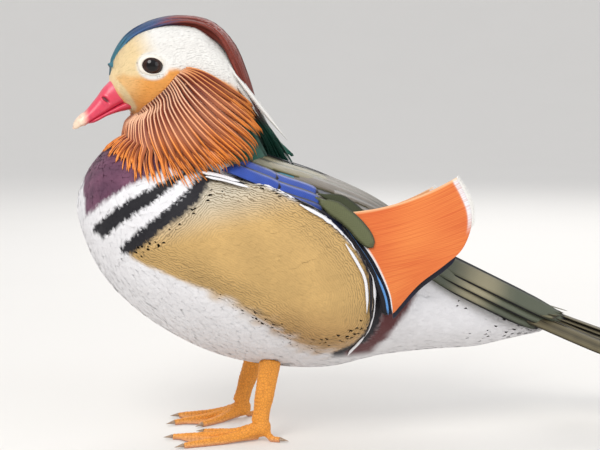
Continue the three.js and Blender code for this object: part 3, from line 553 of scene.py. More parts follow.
# Markings of the body, in the side view
marks = {
    "bars": [[(-66, 156), (-74.6, 153.5), (-86.4, 149.3), (-98.2, 143.4), (-110.7, 135), (-119.5, 126)],
             [(-64, 154.5), (-71.4, 152.4), (-82.2, 144.6), (-92.9, 137.8), (-103.7, 131.1), (-113.7, 123)],
             [(-60, 153.5), (-63.8, 152.3), (-73.2, 143.1), (-84, 134.2), (-94.7, 126), (-106, 116.5)],
             [(-54, 152), (-58.8, 150), (-65.4, 141.2), (-76.1, 131.9), (-86.8, 123.7), (-98, 113)]],
    "barArea": [(-62, 158), (-74.6, 156.4), (-86.4, 152.4), (-98.2, 146.6), (-110.7, 138.4), (-121.5, 129),
                (-120.5, 122.5), (-112, 117), (-101.5, 109.5), (-94.5, 111), (-83.8, 120.4), (-73, 128.8),
                (-61.6, 138.6), (-54, 148), (-50, 154)],
    "breast": [(-58, 166), (-62, 158), (-74.6, 156.4), (-86.4, 152.4), (-98.2, 146.6), (-110.7, 138.4),
               (-120.5, 130), (-140, 112), (-150, 240), (-56, 240)],
    "flank": rounded([(-100, 112), (-80, 133), (-60, 152), (-44, 151), (-28, 147), (-5, 136.5), (8, 128.5),
                      (18, 118), (28, 106.5), (33.5, 93), (34, 78), (31, 63), (23, 55.5), (10, 53), (-3, 56),
                      (-16, 66), (-33, 77.5), (-53, 88.5), (-74, 98)]),
    "centre": [(92, 60), (104, 44), (112, 34), (119, 28), (127, 24), (138, 21), (143, 17), (148, 8),
               (153, 0)],      # white middle of the breast: height and half width
    "back": [(-60, 163), (-20, 148), (20, 132), (60, 106), (100, 80), (150, 57)],
    "flankRear": [(52, 14), (58, 26), (66, 32), (80, 34.5), (95, 33.5), (108, 28), (122, 15)],  # by height
    "ventEdge": [(52, 38), (70, 52), (96, 66)],    # by height
}
colours = {name: rgb(value) for name, value in {
    "maroon": "744660", "maroonDark": "522f48", "white": "eeedf0", "whiteUnderShade": "d9d6d8", "black": "15131b",
    "gold": "cba669", "flankGrey": "cfcaba", "flankBrown": "ae8350", "mantle": "6e6a50", "rump": "4a4334",
    "ventBrown": "5c2a2c", "cream": "f0d5a2", "brow": "f1efea", "cheek": "eda24e", "lore": "eebd7c",
    "ruffPale": "f8c7a4", "rust": "96401a", "orange": "ee8f3a", "steel": "345482",
    "teal": "3f7f92", "copper": "85372a", "copperDark": "47181c", "bottle": "116350", "cobalt": "2d4a9e",
    "navy": "131a36", "oliveBeige": "7a7257", "greyBrown": "6a6154", "olive": "5f6343",
    "oliveDark": "3c4128", "primary": "575c4c",
    "pale": "b3a888", "tail": "6a6148", "sail": "e8843f", "sailDeep": "d8642a", "lightBlue": "5f97d6",
}.items()}


def bodyTint(points):         # colour of the coat and skin at places on the body
    p = np.array(points, float)
    p[..., 1] = np.abs(p[..., 1])
    x, y, z = p[..., 0], p[..., 1], p[..., 2]
    rag, broad = ripple(p, 6, 3), ripple(p, 24, 5)
    # the white is painted greyer towards the bottom as shade on the underside, with soft random patches
    tint = mix(colours["white"], colours["whiteUnderShade"], step(-z, -75, -40) * 0.6 + broad * 0.12)
    area = within(p, marks["flank"])
    low = step(-(z - 0.35 * (x + 30)), -112, -80)
    flank = mix(colours["gold"], colours["flankGrey"], step(z - 0.25 * x, 132, 158) * 0.85)
    flank = mix(flank, colours["flankBrown"], step(-(z + 0.2 * np.abs(x + 20)), -92, -62) * 0.7)
    flank = flank * (1 + 0.06 * broad[..., None])
    soft = 1 + 4.5 * low * step(-x, -22, -8)
    tint = mix(tint, flank, step(area + rag * 0.5 * soft, -soft, soft))
    centre = readLine(z, marks["centre"]) + rag * 1.2
    bars = np.stack([lineGap(p, bar) for bar in marks["bars"]], -1)
    black = (np.argmin(bars + np.array([0, 0.2, 0, 0.2]), -1) % 2 == 1)[..., None]
    bar = np.where(black, colours["black"], colours["white"])
    tint = mix(tint, bar, step(within(p, marks["barArea"]) + rag * 0.7, -0.6, 0.6) * step(y - centre, -1, 1))
    breast = mix(colours["maroon"], colours["maroonDark"], 0.35 + 0.3 * broad + 0.35 * rag)
    tint = mix(tint, breast, step(within(p, marks["breast"]), -0.6, 0.6) * step(y - centre, -1.5, 1.5))
    back = step(z - readLine(x, marks["back"]), -1, 1)
    tint = mix(tint, mix(colours["mantle"], colours["rump"], step(x, -30, 70)), back * step(x, -57, -54))
    # the back of the neck behind the ruff, under the green nape feathers, is painted a darker copy of the
    # bottle green as shade
    nape = step(x + 0.3 * z, -10, -6) * step(z, 153, 160) * step(-y, -34, -28)
    tint = mix(tint, colours["bottle"] * 0.7, nape)
    behind = x - readLine(z, marks["flankRear"])
    rear = step(x, 5, 12) * step(z, 46, 52)
    tint = mix(tint, colours["black"], rear * step(behind, -1, 0.5) * step(-behind, -9, -6))
    brown = step(behind, 6, 8) * step(-(x - readLine(z, marks["ventEdge"]) - rag), -3, 2)
    tint = mix(tint, colours["ventBrown"], rear * brown)
    return np.clip(tint, 0, 1)


def flankWave(points):        # run of the flank's wavy lines in mm, and how strong they are
    p = np.asarray(points)
    run = within(p, marks["flank"])
    upper = step(p[..., 2] - 0.3 * p[..., 0], 128, 160)
    share = (0.52 - 0.42 * step(run, 7, 20) + 0.34 * upper) * step(run, -2, 2)
    share = share * step(-within(p, marks["barArea"]), -0.5, 1.5)
    return np.stack([run, share, np.zeros_like(run)], -1)


# Markings of the head, in its own frame before it is turned
face = {
    "crown": [(-104, 220), (-98.9, 224.4), (-91.3, 228.7), (-84.4, 231.5), (-73.7, 232.6), (-65.7, 230.5),
              (-57.6, 226.6), (-48.2, 221.2), (-41.6, 213.4), (-37.2, 204.6), (-30.8, 194.5), (-25.3, 186.5)],
    "cheek": [(-108, 204), (-103.8, 206.1), (-97.5, 205), (-89.8, 204.6), (-84.6, 205.4), (-80.1, 208.4),
              (-76.2, 209.3), (-62.4, 206.7), (-47.9, 202.3), (-38.2, 196.8), (-25.3, 186.5)],
    "billBase": [(-108.1, 203.5), (-104.7, 199), (-100.1, 192.5), (-97.2, 188)],
    "crownRaise": [(-105, 1), (-101, 2.1), (-92, 5), (-79, 5.8), (-65, 4.4), (-56, 2.6), (-46, 2.4),
                   (-37, 0)],
    "eye": (-87.9, 211.0),
}


def headTint(points):         # for places in the unturned head's frame
    p = np.array(points, float)
    x, y, z = p[..., 0], np.abs(p[..., 1]), p[..., 2]
    broad, fine = ripple(p, 14, 8), ripple(p, 4, 9)
    tint = mix(colours["cream"], colours["brow"], step(x + 0.25 * (z - 210), -96, -80))
    cheekZ = readLine(x, face["cheek"])
    below = step(cheekZ - z + fine * 0.4, -2.2, 1.6)
    cheek = mix(colours["lore"], colours["cheek"], step(x + 0.3 * (205 - z), -102, -88))
    tint = mix(tint, cheek * (1 + 0.05 * broad[..., None]), below)
    eyeGap = np.hypot((x - face["eye"][0]) * 0.9, z - face["eye"][1])
    tint = mix(tint, colours["brow"], step(-eyeGap, -8.6, -6.8) * step(z, 198, 202))
    tint = mix(tint, colours["cream"], step(-lineGap(p, face["billBase"]), -2.2, -1.0) * step(-x, 90, 96))
    neck = step(-(z + 0.4 * (x + 90)), -186, -180) * step(x, -97, -92)
    tint = mix(tint, colours["rust"], neck)
    crownZ = readLine(x, face["crown"]) + readLine(x, face["crownRaise"])
    crown = np.maximum(step(z - crownZ, -0.6, 0.6), step(x, -26, -24))
    top = mix(colours["steel"], colours["copper"], step(x, -84, -72))
    return np.clip(mix(tint, top, crown), 0, 1)


print("Skin")
skinLook = {"voxel": 1.9, "smoothing": 8, "coatDepth": 1.1, "flankHeight": 5.0, "socket": (6.4, 4.9, 2.7),
            "brow": 2.2, "forehead": 2.2, "grain": (0.02, 0.015, 0.01),
            "swell": [(-112, 0.2), (-96, 0.3), (-72, 0.5), (-46, 0.76), (-18, 0.95), (10, 1.04), (40, 1.04)]}


def remeshed(thing, voxel, smoothing):     # one closed smooth mesh from overlapping closed ones
    remesh = thing.modifiers.new("remesh", "REMESH")
    remesh.mode, remesh.voxel_size = "VOXEL", voxel * 0.001
    smooth = thing.modifiers.new("smooth", "SMOOTH")
    smooth.factor, smooth.iterations = 0.5, smoothing
    bpy.context.view_layer.update()
    mesh = bpy.data.meshes.new_from_object(thing.evaluated_get(bpy.context.evaluated_depsgraph_get()))
    thing.modifiers.clear()
    thing.data = mesh
    mesh.polygons.foreach_set("use_smooth", np.ones(len(mesh.polygons), bool))
    return thing


def toBird(points):
    return np.asarray(points) * 1000 - (shiftX, 0, 0)


def joinMeshes(name, pieces):
    points, faces = [], []
    for p, f in pieces:
        faces += [tuple(k + len(points) for k in one) for one in f]
        points += list(np.asarray(p, float))
    return addMesh(name, toFrame(points), faces)


def corners(mesh):
    mesh.calc_loop_triangles()
    found = np.empty(len(mesh.loop_triangles) * 3, np.int32)
    mesh.loop_triangles.foreach_get("vertices", found)
    return found.reshape(-1, 3)


torsoLoft, neckLoft, headLoft = loft(torsoShape, 72, 80), loft(neckShape, 30, 60), loft(headShape, 44, 64)
turnedHead = (turn(headLoft[0], bird["headTurn"]), headLoft[1])
flesh = joinMeshes("skin", [torsoLoft, neckLoft, turnedHead])
skin = remeshed(flesh, skinLook["voxel"], skinLook["smoothing"])
places = toBird(meshPoints(skin.data))
normals = meshNormals(skin.data)
area = within(places, marks["flank"])
sharp = step(places[:, 0], -50, -20) * step(places[:, 2], 58, 75)
swell = readLine(places[:, 0], skinLook["swell"])
rise = step(area, -2, 13) * (1 - sharp) + step(area, -0.6, 2.4) * sharp
rise = rise * swell * skinLook["flankHeight"]
places += normals * (rise * step(np.abs(places[:, 1]), 8, 20) - skinLook["coatDepth"])[:, None]
headPlaces = turn(places, -bird["headTurn"])    # the brow is fuller beside the crest
brow = step(headPlaces[:, 2], 217, 228) * step(np.abs(headPlaces[:, 1]), 3, 8) * step(-headPlaces[:, 0],
                                                                                      50, 62)
places += normals * (brow * step(headPlaces[:, 0], -102, -92) * skinLook["brow"])[:, None]
headPlaces = turn(places, -bird["headTurn"])
ahead = step(-headPlaces[:, 0], 86, 101) * step(headPlaces[:, 2], 186, 196)
headPlaces[:, 0] -= skinLook["forehead"] * ahead
eyeWay = unit(np.array([-0.16, -1.0, 0.06]))
eyeAt = {side: np.array([face["eye"][0], 15.0 * side, face["eye"][1]]) for side in (-1, 1)}
for side, middle in eyeAt.items():           # sockets
    wide, high, deep = skinLook["socket"]
    near = (headPlaces[:, 1] * side > 5)
    gap = np.hypot((headPlaces[:, 0] - middle[0]) / wide, (headPlaces[:, 2] - middle[2]) / high)
    headPlaces[:, 1] -= side * near * step(-gap, -1.15, -0.75) * deep
places = turn(headPlaces, bird["headTurn"])
moveMesh(skin.data, toFrame(places))
isHead = step(places[:, 2] - 0.12 * places[:, 0], 187, 193) * (places[:, 0] < -15)
putColours(skin.data, "tint", mix(bodyTint(places), headTint(headPlaces), isHead))
skinSurface = Surface(places, corners(skin.data))
skinPaint = grainPaint("down", 1400.0, 3.0, 0.25, None, skinLook["grain"], 0.4, Roughness=0.85,
                       Sheen_Weight=0.2, Specular_IOR_Level=0.2)
skin.data.materials.append(skinPaint)
settle([skin], "body_feathers", "torso", "rump", "neck", "head", "flank_left", "flank_right")
print("skin", len(skin.data.polygons), "faces")


def scatter(surface, points, faces, apart, seed, keep):   # roots about apart mm from each other
    draw = np.random.default_rng(seed)
    corner = [points[faces[:, k]] for k in range(3)]
    size = np.linalg.norm(np.cross(corner[1] - corner[0], corner[2] - corner[0]), axis=1) / 2
    size *= keep((corner[0] + corner[1] + corner[2]) / 3)
    count = int(size.sum() / apart ** 2 * 3.2)
    pick = draw.choice(len(faces), count, p=size / size.sum())
    u, v = draw.random(count), draw.random(count)
    u, v = np.where(u + v > 1, 1 - u, u)[:, None], np.where(u + v > 1, 1 - v, v)[:, None]
    spots = corner[0][pick] * (1 - u - v) + corner[1][pick] * u + corner[2][pick] * v
    cells, kept = {}, []
    steps = [(a, b, c) for a in (-1, 0, 1) for b in (-1, 0, 1) for c in (-1, 0, 1)]
    for k, spot in enumerate(spots.tolist()):
        cell = tuple(int(c // apart) for c in spot)
        around = [tuple(c + move for c, move in zip(cell, one)) for one in steps]
        if all(math.dist(spot, spots[j]) >= apart for one in around for j in cells.get(one, ())):
            cells.setdefault(cell, []).append(k)
            kept.append(k)
    return spots[kept]


def combOver(surface, roots, lie, length, stations):      # paths over a surface along the coat's lie
    at, normal = surface.near(roots)
    centre, up = [at], [normal]
    for _ in range(stations - 1):
        way = lie(at)
        way = unit(way - normal * (way * normal).sum(-1, keepdims=True))
        at, normal = surface.near(at + way * (length / (stations - 1))[:, None])
        centre.append(at)
        up.append(normal)
    return np.stack(centre, 1), np.stack(up, 1)


def bodyLie(points):          # backwards, and down on the breast and sides
    x, y, z = points[:, 0], points[:, 1], points[:, 2]
    front = step(-x, 78, 124)
    ways = np.stack([np.ones(len(x)), 0.2 * np.sign(y) * front, -0.16 - 1.0 * front], -1)
    down = step(z, 166, 184)[:, None]
    downWay = np.array([0.25, 0, -1.0]) + np.sign(y)[:, None] * np.array([0, 0.3, 0])
    return ways * (1 - down) + downWay * down


def headLie(points):          # away from the bill
    ways = unit(points - turn([-112.0, 0.0, 200.0], bird["headTurn"]))
    return ways + np.array([0.35, 0, -0.15])


# Where the ruff covers the skin: its upper and lower edge by degrees from straight ahead
ruffCover = {"top": [(0, 181), (18, 183), (34, 189), (48, 196), (58, 203), (74, 206), (138, 178), (180, 178)],
             "low": [(0, 174), (24, 172), (50, 158), (86, 156), (119, 163), (138, 183), (180, 183)]}


def covered(points):          # share of the skin that shows feathers of its own
    p = turn(points, -bird["headTurn"])
    x, y, z = points[:, 0], np.abs(points[:, 1]), points[:, 2]
    out = np.degrees(np.arctan2(y, -(p[:, 0] - bird["neckAxis"][0])))
    ruff = (z < readLine(out, ruffCover["top"]) - 3) & (z > readLine(out, ruffCover["low"]) + 4) & (x < -20)
    leg = (z < 52) & (np.hypot(x + 18, y - 26) < 7)
    wing = (x > -44) & (x < 66) & (within(points, marks["flank"]) < -5) & (z > 106 - 0.4 * x) & (y > 10)
    return np.where(ruff | leg | wing, 0.0, 1.0)


print("Coat")
# rise and half are the coat's height and half width in mm, with their shares at the five stations
coatLook = {"apart": 1.75, "length": 8.0, "half": 1.9, "thick": 0.12, "rise": 0.62, "seed": 11, "soft": 0.93,
            "sunk": 0.35, "rises": [0, 0.62, 0.9, 1.0, 1.0], "halves": [0.55, 0.9, 1.0, 0.8, 0]}
flankLook = dict(coatLook, length=9.0, half=2.3, rise=0.55)
flankLines = {"apart": 1.25, "bends": 110.0, "wander": 3.4, "crinkles": 420.0, "crinkle": 1.7,
              "dark": rgb("6f5c3c")}
coatPaint = plumagePaint("softFeathers", 9.0, 0.16)
flankPaint = plumagePaint("flankFeathers", 9.0, 0.08, lines=flankLines)


def bodyFeathers(name, roots, size, tint, paint, slot, wave=None, seed=1):
    draw = np.random.default_rng(seed)
    count = len(roots)
    length = size["length"] * draw.uniform(0.85, 1.15, count) * (1 + 0.5 * step(roots[:, 0], 55, 110))
    centre, up = combOver(skinSurface, roots, bodyLie, length, 5)
    spans = np.diff(centre, axis=1)
    bends = (unit(spans[:, 1:]) * unit(spans[:, :-1])).sum(-1).min(1)
    smooth = (up[:, 1:] * up[:, :-1]).sum(-1).min(1) > 0.8     # feathers that fold are left out
    smooth &= (bends > 0.75) & (np.linalg.norm(spans, axis=2).min(1) > 0.5 * length / 4)
    centre, up, count = centre[smooth], up[smooth], int(smooth.sum())
    draw = np.random.default_rng(seed + 50)
    high = size["rise"] * draw.uniform(0.9, 1.12, count)[:, None] + size["sunk"]
    centre = centre + up * (high * np.array(size["rises"]) - size["sunk"])[..., None]
    half = size["half"] * draw.uniform(0.9, 1.12, count)[:, None] * np.array(size["halves"])
    thick = size["thick"] * (1 - 0.5 * np.linspace(0, 1, 5))
    made = addFeathers(name, centre, up, half, thick, tint, paint, rolls=draw.normal(0, 0.03, count),
                       wave=wave, soft=size["soft"])
    return settle(made, slot)


def coatTint(points, share, edge, lots):
    # random tone for each feather, and painted shade that darkens each feather towards its root, where the
    # feathers above cover it
    tone = 0.96 + 0.07 * lots[..., None] - 0.05 * np.clip(1 - share, 0, 1)[..., None] ** 2
    return np.clip(bodyTint(points) * tone, 0, 1)


triangles = corners(skin.data)
bodyPart = lambda p: covered(p) * (turn(p, -bird["headTurn"])[:, 2] - 0.12 * p[:, 0] < 190)
roots = scatter(skinSurface, places, triangles, coatLook["apart"], coatLook["seed"], bodyPart)
onFlank = within(roots, marks["flank"]) > -1
bodyFeathers("coat", roots[~onFlank], coatLook, coatTint, coatPaint, "body_feathers")
bodyFeathers("flankCoat", roots[onFlank], flankLook, coatTint, flankPaint, "flank", wave=flankWave, seed=2)

print("Head")
faceLook = {"apart": 0.86, "length": 3.6, "half": 0.62, "thick": 0.08, "rise": 0.42, "seed": 21, "soft": 0.9,
            "sunk": 0.2, "rises": [0, 0.35, 0.7, 1.0], "halves": [0.6, 1, 0.85, 0]}
facePaint = plumagePaint("faceFeathers", 14.0, 0.06, rough=0.7, sheen=0.3)


def facePart(points):
    p = turn(points, -bird["headTurn"])
    crownZ = readLine(p[:, 0], face["crown"])
    bill = (np.hypot(p[:, 0] + 110, (p[:, 2] - 195) * 0.9) < 11.5) & (np.abs(p[:, 1]) < 8)
    eye = np.hypot((p[:, 0] - face["eye"][0]) / 6.4, (p[:, 2] - face["eye"][1]) / 4.5) < 1.2
    on = (p[:, 2] - 0.12 * points[:, 0] > 188) & (p[:, 2] < crownZ + 7) & (p[:, 0] < -22) & ~bill & ~eye
    return np.where(on, covered(points), 0)


roots = scatter(skinSurface, places, triangles, faceLook["apart"], faceLook["seed"], facePart)
draw = np.random.default_rng(4)
length = faceLook["length"] * draw.uniform(0.85, 1.2, len(roots))
centre, up = combOver(skinSurface, roots, headLie, length, 4)
high = (faceLook["rise"] + faceLook["sunk"]) * draw.uniform(0.9, 1.1, len(roots))[:, None]
centre = centre + up * (high * np.array(faceLook["rises"]) - faceLook["sunk"])[..., None]
half = faceLook["half"] * draw.uniform(0.9, 1.1, len(roots))[:, None] * np.array(faceLook["halves"])


def faceTint(points, share, edge, lots):
    return np.clip(headTint(turn(points, -bird["headTurn"])) * (0.96 + 0.07 * lots[..., None]), 0, 1)


settle(addFeathers("faceCoat", centre, up, half, faceLook["thick"], faceTint, facePaint, unwrap=unwrapHead,
                   soft=faceLook["soft"]),
       "head_feathers")

print("Eyes and lids")
# the lids' rings, from the rim on the ball to the skin: how wide, how far down to the skirt, how far out
eyeLook = {"radius": 6.2, "lidWide": 5.75, "lidHigh": 4.35, "tilt": 9.0, "skirt": 2.6,
           "rings": [(0.985, 0, -0.5), (1.0, 0, 0.22), (1.05, 0.1, 0.48), (1.13, 0.35, 0.42),
                     (1.27, 0.8, 0.2), (1.42, 1.0, -0.5), (1.2, 1.0, -1.6)]}
eyePaint = Paint("wetEye", Roughness=0.03, Specular_IOR_Level=0.38)
eyePaint.feed("Base Color", eyePaint.attribute("tint"))
lidPaint = grainPaint("lidSkin", 2600.0, 2.0, 0.3, rgb("f2ece0"), rgb("cdbfae"), 0.5, Roughness=0.6,
                      Specular_IOR_Level=0.4)


def ball(middle, radius, rings, sides, size=(1, 1, 1)):
    a = np.linspace(0, math.pi, rings + 1)[1:-1, None]
    b = np.linspace(0, 2 * math.pi, sides, endpoint=False)[None]
    grid = np.stack([np.sin(a) * np.cos(b), np.sin(a) * np.sin(b), np.cos(a) + 0 * b], -1).reshape(-1, 3)
    points = np.vstack([grid, [(0, 0, 1), (0, 0, -1)]]) * radius * np.array(size) + middle
    faces = ringFaces(rings - 1, sides, turned=True) + capFaces(0, sides, len(grid))
    return points, faces + capFaces((rings - 2) * sides, sides, len(grid) + 1, turned=True)


for side, node in ((-1, "eye_left"), (1, "eye_right")):
    middle = eyeAt[side]
    points, faces = ball(middle, eyeLook["radius"], 40, 64)
    thing = addMesh("ball_" + node, toFrame(turn(points, bird["headTurn"])), faces)
    outward = eyeWay * (1, -side, 1)
    off = np.degrees(np.arccos(np.clip(((points - middle) / eyeLook["radius"]) @ outward, -1, 1)))
    iris = mix(rgb("060405"), rgb("2c160c"), step(off, 27, 33) * step(-off, -66, -52))
    putColours(thing.data, "tint", iris)
    thing.data.materials.append(eyePaint.material)
    settle([thing], "eye", node)
    a = np.linspace(0, 2 * math.pi, 96, endpoint=False)
    tilt = math.radians(eyeLook["tilt"])
    u, v = eyeLook["lidWide"] * np.cos(a), eyeLook["lidHigh"] * np.sin(a) * (1 - 0.12 * np.cos(a))
    u, v = u * math.cos(tilt) + v * math.sin(tilt), v * math.cos(tilt) - u * math.sin(tilt)
    onBall = np.sqrt(eyeLook["radius"] ** 2 - u ** 2 - v ** 2)
    ring = []
    for wide, sunk, out in eyeLook["rings"]:
        out = onBall * (1 - sunk) + eyeLook["skirt"] * sunk + out
        ring.append(middle + np.stack([u * wide, side * out, v * wide], -1))
    rim = np.concatenate(ring)
    rimFaces = ringFaces(len(ring), len(a), closed=True)
    if side < 0:
        rimFaces = [f[::-1] for f in rimFaces]
    lid = addMesh("lid_" + node, toFrame(turn(rim, bird["headTurn"])), rimFaces)
    lid.data.materials.append(lidPaint)
    settle([lid], "head_feathers")

print("Bill")
billLook = {"nostril": (-112, 192.6), "nostrilTilt": -42, "nostrilSize": (2.5, 1.0), "nostrilDeep": 1.3,
            "nail": -123.2, "lowWider": 1.12, "lowHigher": 1.5}
billPaint = Paint("billHorn", Roughness=0.33, Specular_IOR_Level=0.5, Coat_Weight=0.25, Coat_Roughness=0.25)
billGrain = billPaint.noise(billPaint.place(), 380.0, 4.0)
fineGrain = billPaint.noise(billPaint.place(), 2400.0, 2.0)
spots = billGrain.above(0.45, 0.75) * 0.35
shaded = billPaint.blend(spots, billPaint.attribute("tint"), rgb("b03050"))
billPaint.feed("Base Color", shaded)
billPaint.feed("Roughness", 0.3 + 0.16 * billGrain)
billPaint.feed("Normal", billPaint.bump(billGrain + 0.35 * fineGrain, 0.35, 0.0003))


def billHalf(name, shape, node, rings, sides):
    points, faces = loft(shape, rings, sides)
    x, y, z = points.T
    tilt = math.radians(billLook["nostrilTilt"])
    dx, dz = x - billLook["nostril"][0], z - billLook["nostril"][1]
    u = dx * math.cos(tilt) + dz * math.sin(tilt)
    v = dz * math.cos(tilt) - dx * math.sin(tilt)
    hole = np.hypot(u / billLook["nostrilSize"][0], v / billLook["nostrilSize"][1])
    upperHalf = node == "bill_upper"
    if upperHalf:
        points[:, 1] -= np.sign(y) * billLook["nostrilDeep"] * step(-hole, -1.25, -0.7) * (np.abs(y) > 2)
        rim = np.exp(-((hole - 1.6) / 0.35) ** 2) * 0.22
        points[:, 1] += np.sign(y) * rim * (np.abs(y) > 2)
        nail = step(-x, -billLook["nail"], -billLook["nail"] + 0.8) * step(z + 0.72 * (x + 127), 176, 178)
        points[:, 2] += 0.35 * nail
        points[:, 0] -= 0.3 * nail
    else:
        points = points * (1, billLook["lowWider"], 1) + (0, 0, billLook["lowHigher"])
    lowEdge = step(-(z - np.interp(-x, [92, 104.5, 118.5, 129.6], [191, 189, 181.2, 176.5])), -1.6, -0.2)
    tint = mix(rgb("da3d58"), rgb("ea6a82"), step(z - 0.7 * (-x - 112), 196, 204) * 0.5)
    tint = mix(tint, rgb("c42846"), lowEdge * 0.6 if upperHalf else np.full(len(x), 0.55))
    tint = mix(tint, rgb("f1d8be"), step(-x, 120.5, 125.5))
    tint = mix(tint, rgb("5a1522"), step(-hole, -1.05, -0.6) * (np.abs(y) > 2) * upperHalf)
    thing = addMesh(name, toFrame(turn(points, bird["headTurn"])), faces)
    putColours(thing.data, "tint", tint)
    thing.data.materials.append(billPaint.material)
    return settle([thing], "bill", node)


billHalf("billTop", billUpperShape, "bill_upper", 110, 96)
billHalf("billUnder", billLowerShape, "bill_lower", 70, 64)

print("Ruff")
ruffLook = {"roots": [(0, 183), (18, 186), (34, 192), (48, 199), (58, 206), (70, 209.8)],
            "tips": [(0, 165), (22, 160.5), (36, 152.5), (50, 148.5), (68, 147.5), (86, 148), (103, 151.5),
                     (119, 155.5), (134, 162), (150, 172), (165, 186.5)]}
ruffLayers = [
    {"count": 74, "from": 0.36, "to": 1.07, "half": 0.95, "deep": 2.0, "thick": 0.9, "jitter": 0.16},
    {"count": 40, "from": 0.14, "to": 1.03, "half": 2.0, "deep": 1.4, "thick": 1.6, "jitter": 0.16},
    {"count": 30, "from": 0.0, "to": 0.96, "half": 2.3, "deep": 0.5, "thick": 2.1, "jitter": 0.2},
]
# gap is a dark rust multiplied into each hackle's sides, which also paints the shade in the gaps between
# hackles
ruffRidge = {"narrow": 0.22, "wide": 0.55, "faint": 0.25, "gap": (0.24, 0.08, 0.05)}
ruffPaint = plumagePaint("hackles", 5.0, 0.10, rough=0.5, sheen=0.1, ridge=ruffRidge)


def inTriangles(faces):
    parts = [((f[0], f[1], f[2]), (f[0], f[2], f[3])) if len(f) == 4 else (f,) for f in faces]
    return [triangle for part in parts for triangle in part]


def formSurface(forms):       # one surface of several closed forms
    starts = np.cumsum([0] + [len(points) for points, _ in forms])
    faces = [tuple(k + first for k in f) for (_, faces), first in zip(forms, starts)
             for f in inTriangles(faces)]
    return Surface(np.vstack([points for points, _ in forms]), faces)


ruffSurface = formSurface([loft(ruffShape, 60, 90)])
headSurface = formSurface([headLoft, neckLoft, (turn(torsoLoft[0], -bird["headTurn"]), torsoLoft[1])])


def reach(surface, degrees, z):    # how far a form reaches from the neck's line, seen from outside
    out = np.stack([-np.cos(np.radians(degrees)), -np.sin(np.radians(degrees)), np.zeros_like(degrees)], -1)
    start = np.stack([np.full_like(z, bird["neckAxis"][0]), np.zeros_like(z), z], -1) + out * 200
    hit, _ = surface.cast(start.reshape(-1, 3), -out.reshape(-1, 3))
    far = 200 - np.linalg.norm(hit - start.reshape(-1, 3), axis=-1)
    return np.nan_to_num(far).reshape(z.shape), out


def alongLine(line, share):
    line = np.array(line, float)
    t = np.linspace(0, 1, len(line))
    return np.stack([np.interp(share, t, line[:, k]) for k in range(2)], -1)


def hackles(layer, side, seed):
    draw = np.random.default_rng(seed)
    count, stations = layer["count"], 15
    f = (np.arange(count) + 0.5 + draw.uniform(-0.18, 0.18, count)) / count
    t = np.linspace(0, 1, stations)[None]
    end = layer["to"] - layer["jitter"] * draw.random(count)[:, None]
    t = layer["from"] + (end - layer["from"]) * t
    roots, tips = alongLine(ruffLook["roots"], f)[:, None], alongLine(ruffLook["tips"], f)[:, None]
    sway = draw.normal(0, 1.9, count)[:, None] * t ** 2
    degrees = roots[..., 0] + (tips[..., 0] - roots[..., 0]) * t + sway
    z = roots[..., 1] + (tips[..., 1] - roots[..., 1]) * t ** (1 + 0.8 * step(f, 0.7, 1.0)[:, None])
    low, _ = reach(ruffSurface, degrees, z - 1.5)
    high, _ = reach(ruffSurface, degrees, z + 1.5)
    flesh, out = reach(headSurface, degrees, z)
    onSkin = flesh + 0.2 + (1.7 - layer["deep"]) * 0.5
    far = np.where(t < 0.03, flesh - 0.4, 0)
    far = np.maximum(far, flesh - 0.4 + (np.maximum(onSkin, (low + high) / 2 - layer["deep"]) - flesh + 0.4)
                     * step(t - layer["from"], -0.02, 0.22))
    far += 0.5 * draw.normal(0, 0.5, count)[:, None] * t ** 2
    axis = np.stack([np.full_like(z, bird["neckAxis"][0]), np.zeros_like(z), z], -1)
    centre, up = axis + out * far[..., None], out.copy()
    up[..., 2] = np.clip((low - high) / 3, -0.5, 1)
    share = np.linspace(0, 1, stations)[None]
    half = np.maximum(layer["half"] * pointed(share, 0.4, 0.6, 0.62, 1.04), 0.22)
    half = half * draw.uniform(0.9, 1.1, count)[:, None]
    centre[..., 1] *= -side
    up[..., 1] *= -side
    thick = layer["thick"] * (1 - 0.45 * share) * np.ones((count, 1))
    centre, up = turn(centre, bird["headTurn"]), turnWay(up, bird["headTurn"])
    return centre, up, half, thick, draw.normal(0, 0.16, count)


def hackleTint(points, share, edge, lots):
    tip = step(share + 0.14 * (lots - 0.5), 0.5, 0.8)
    ridge = mix(mix(colours["ruffPale"], rgb("f3a878"), step(share, 0.15, 0.55)), colours["orange"], tip)
    p = turn(points, -bird["headTurn"])
    upper = step(p[..., 2] - 0.55 * (-62 - p[..., 0]), 192, 204) * step(p[..., 0], -80, -66)
    ridge = mix(ridge, colours["orange"] * 0.8, upper * 0.8)
    return np.clip(ridge * (0.9 + 0.2 * lots[..., None]), 0, 1)


for side, node in ((-1, "ruff_left"), (1, "ruff_right")):
    for k, layer in enumerate(ruffLayers):
        centre, up, half, thick, rolls = hackles(layer, side, 60 + k)
        made = addFeathers(f"{node}_tier_{k + 1}", centre, up, half, thick, hackleTint, ruffPaint,
                           section="hackle", unwrap=ownCells, rolls=rolls, patch=0.1)
        settle(made, "ruff", node)

print("Crest")
crestLook = {"count": 900, "length": 0.30, "half": 0.95, "thick": 0.32, "seed": 8, "stations": 13,
             "wideFront": 53, "wideMore": 39, "coreRings": 60, "coreSides": 48}
crestPaint = plumagePaint("crestFeathers", 5.0, 0.14, rough=0.5, sheen=0.08)


def formPlace(shape, s, angle):
    near = 0.004
    at = bodyPoints(shape, s, angle)
    ahead = (bodyPoints(shape, np.minimum(s + near, 1), angle)
             - bodyPoints(shape, np.maximum(s - near, 0), angle))
    around = bodyPoints(shape, s, angle + near) - bodyPoints(shape, s, angle - near)
    return at, unit(np.cross(ahead, around))


def crestWidth(s):            # degrees from the crest's top line to its side
    return crestLook["wideFront"] + crestLook["wideMore"] * step(s, 0.4, 0.62)


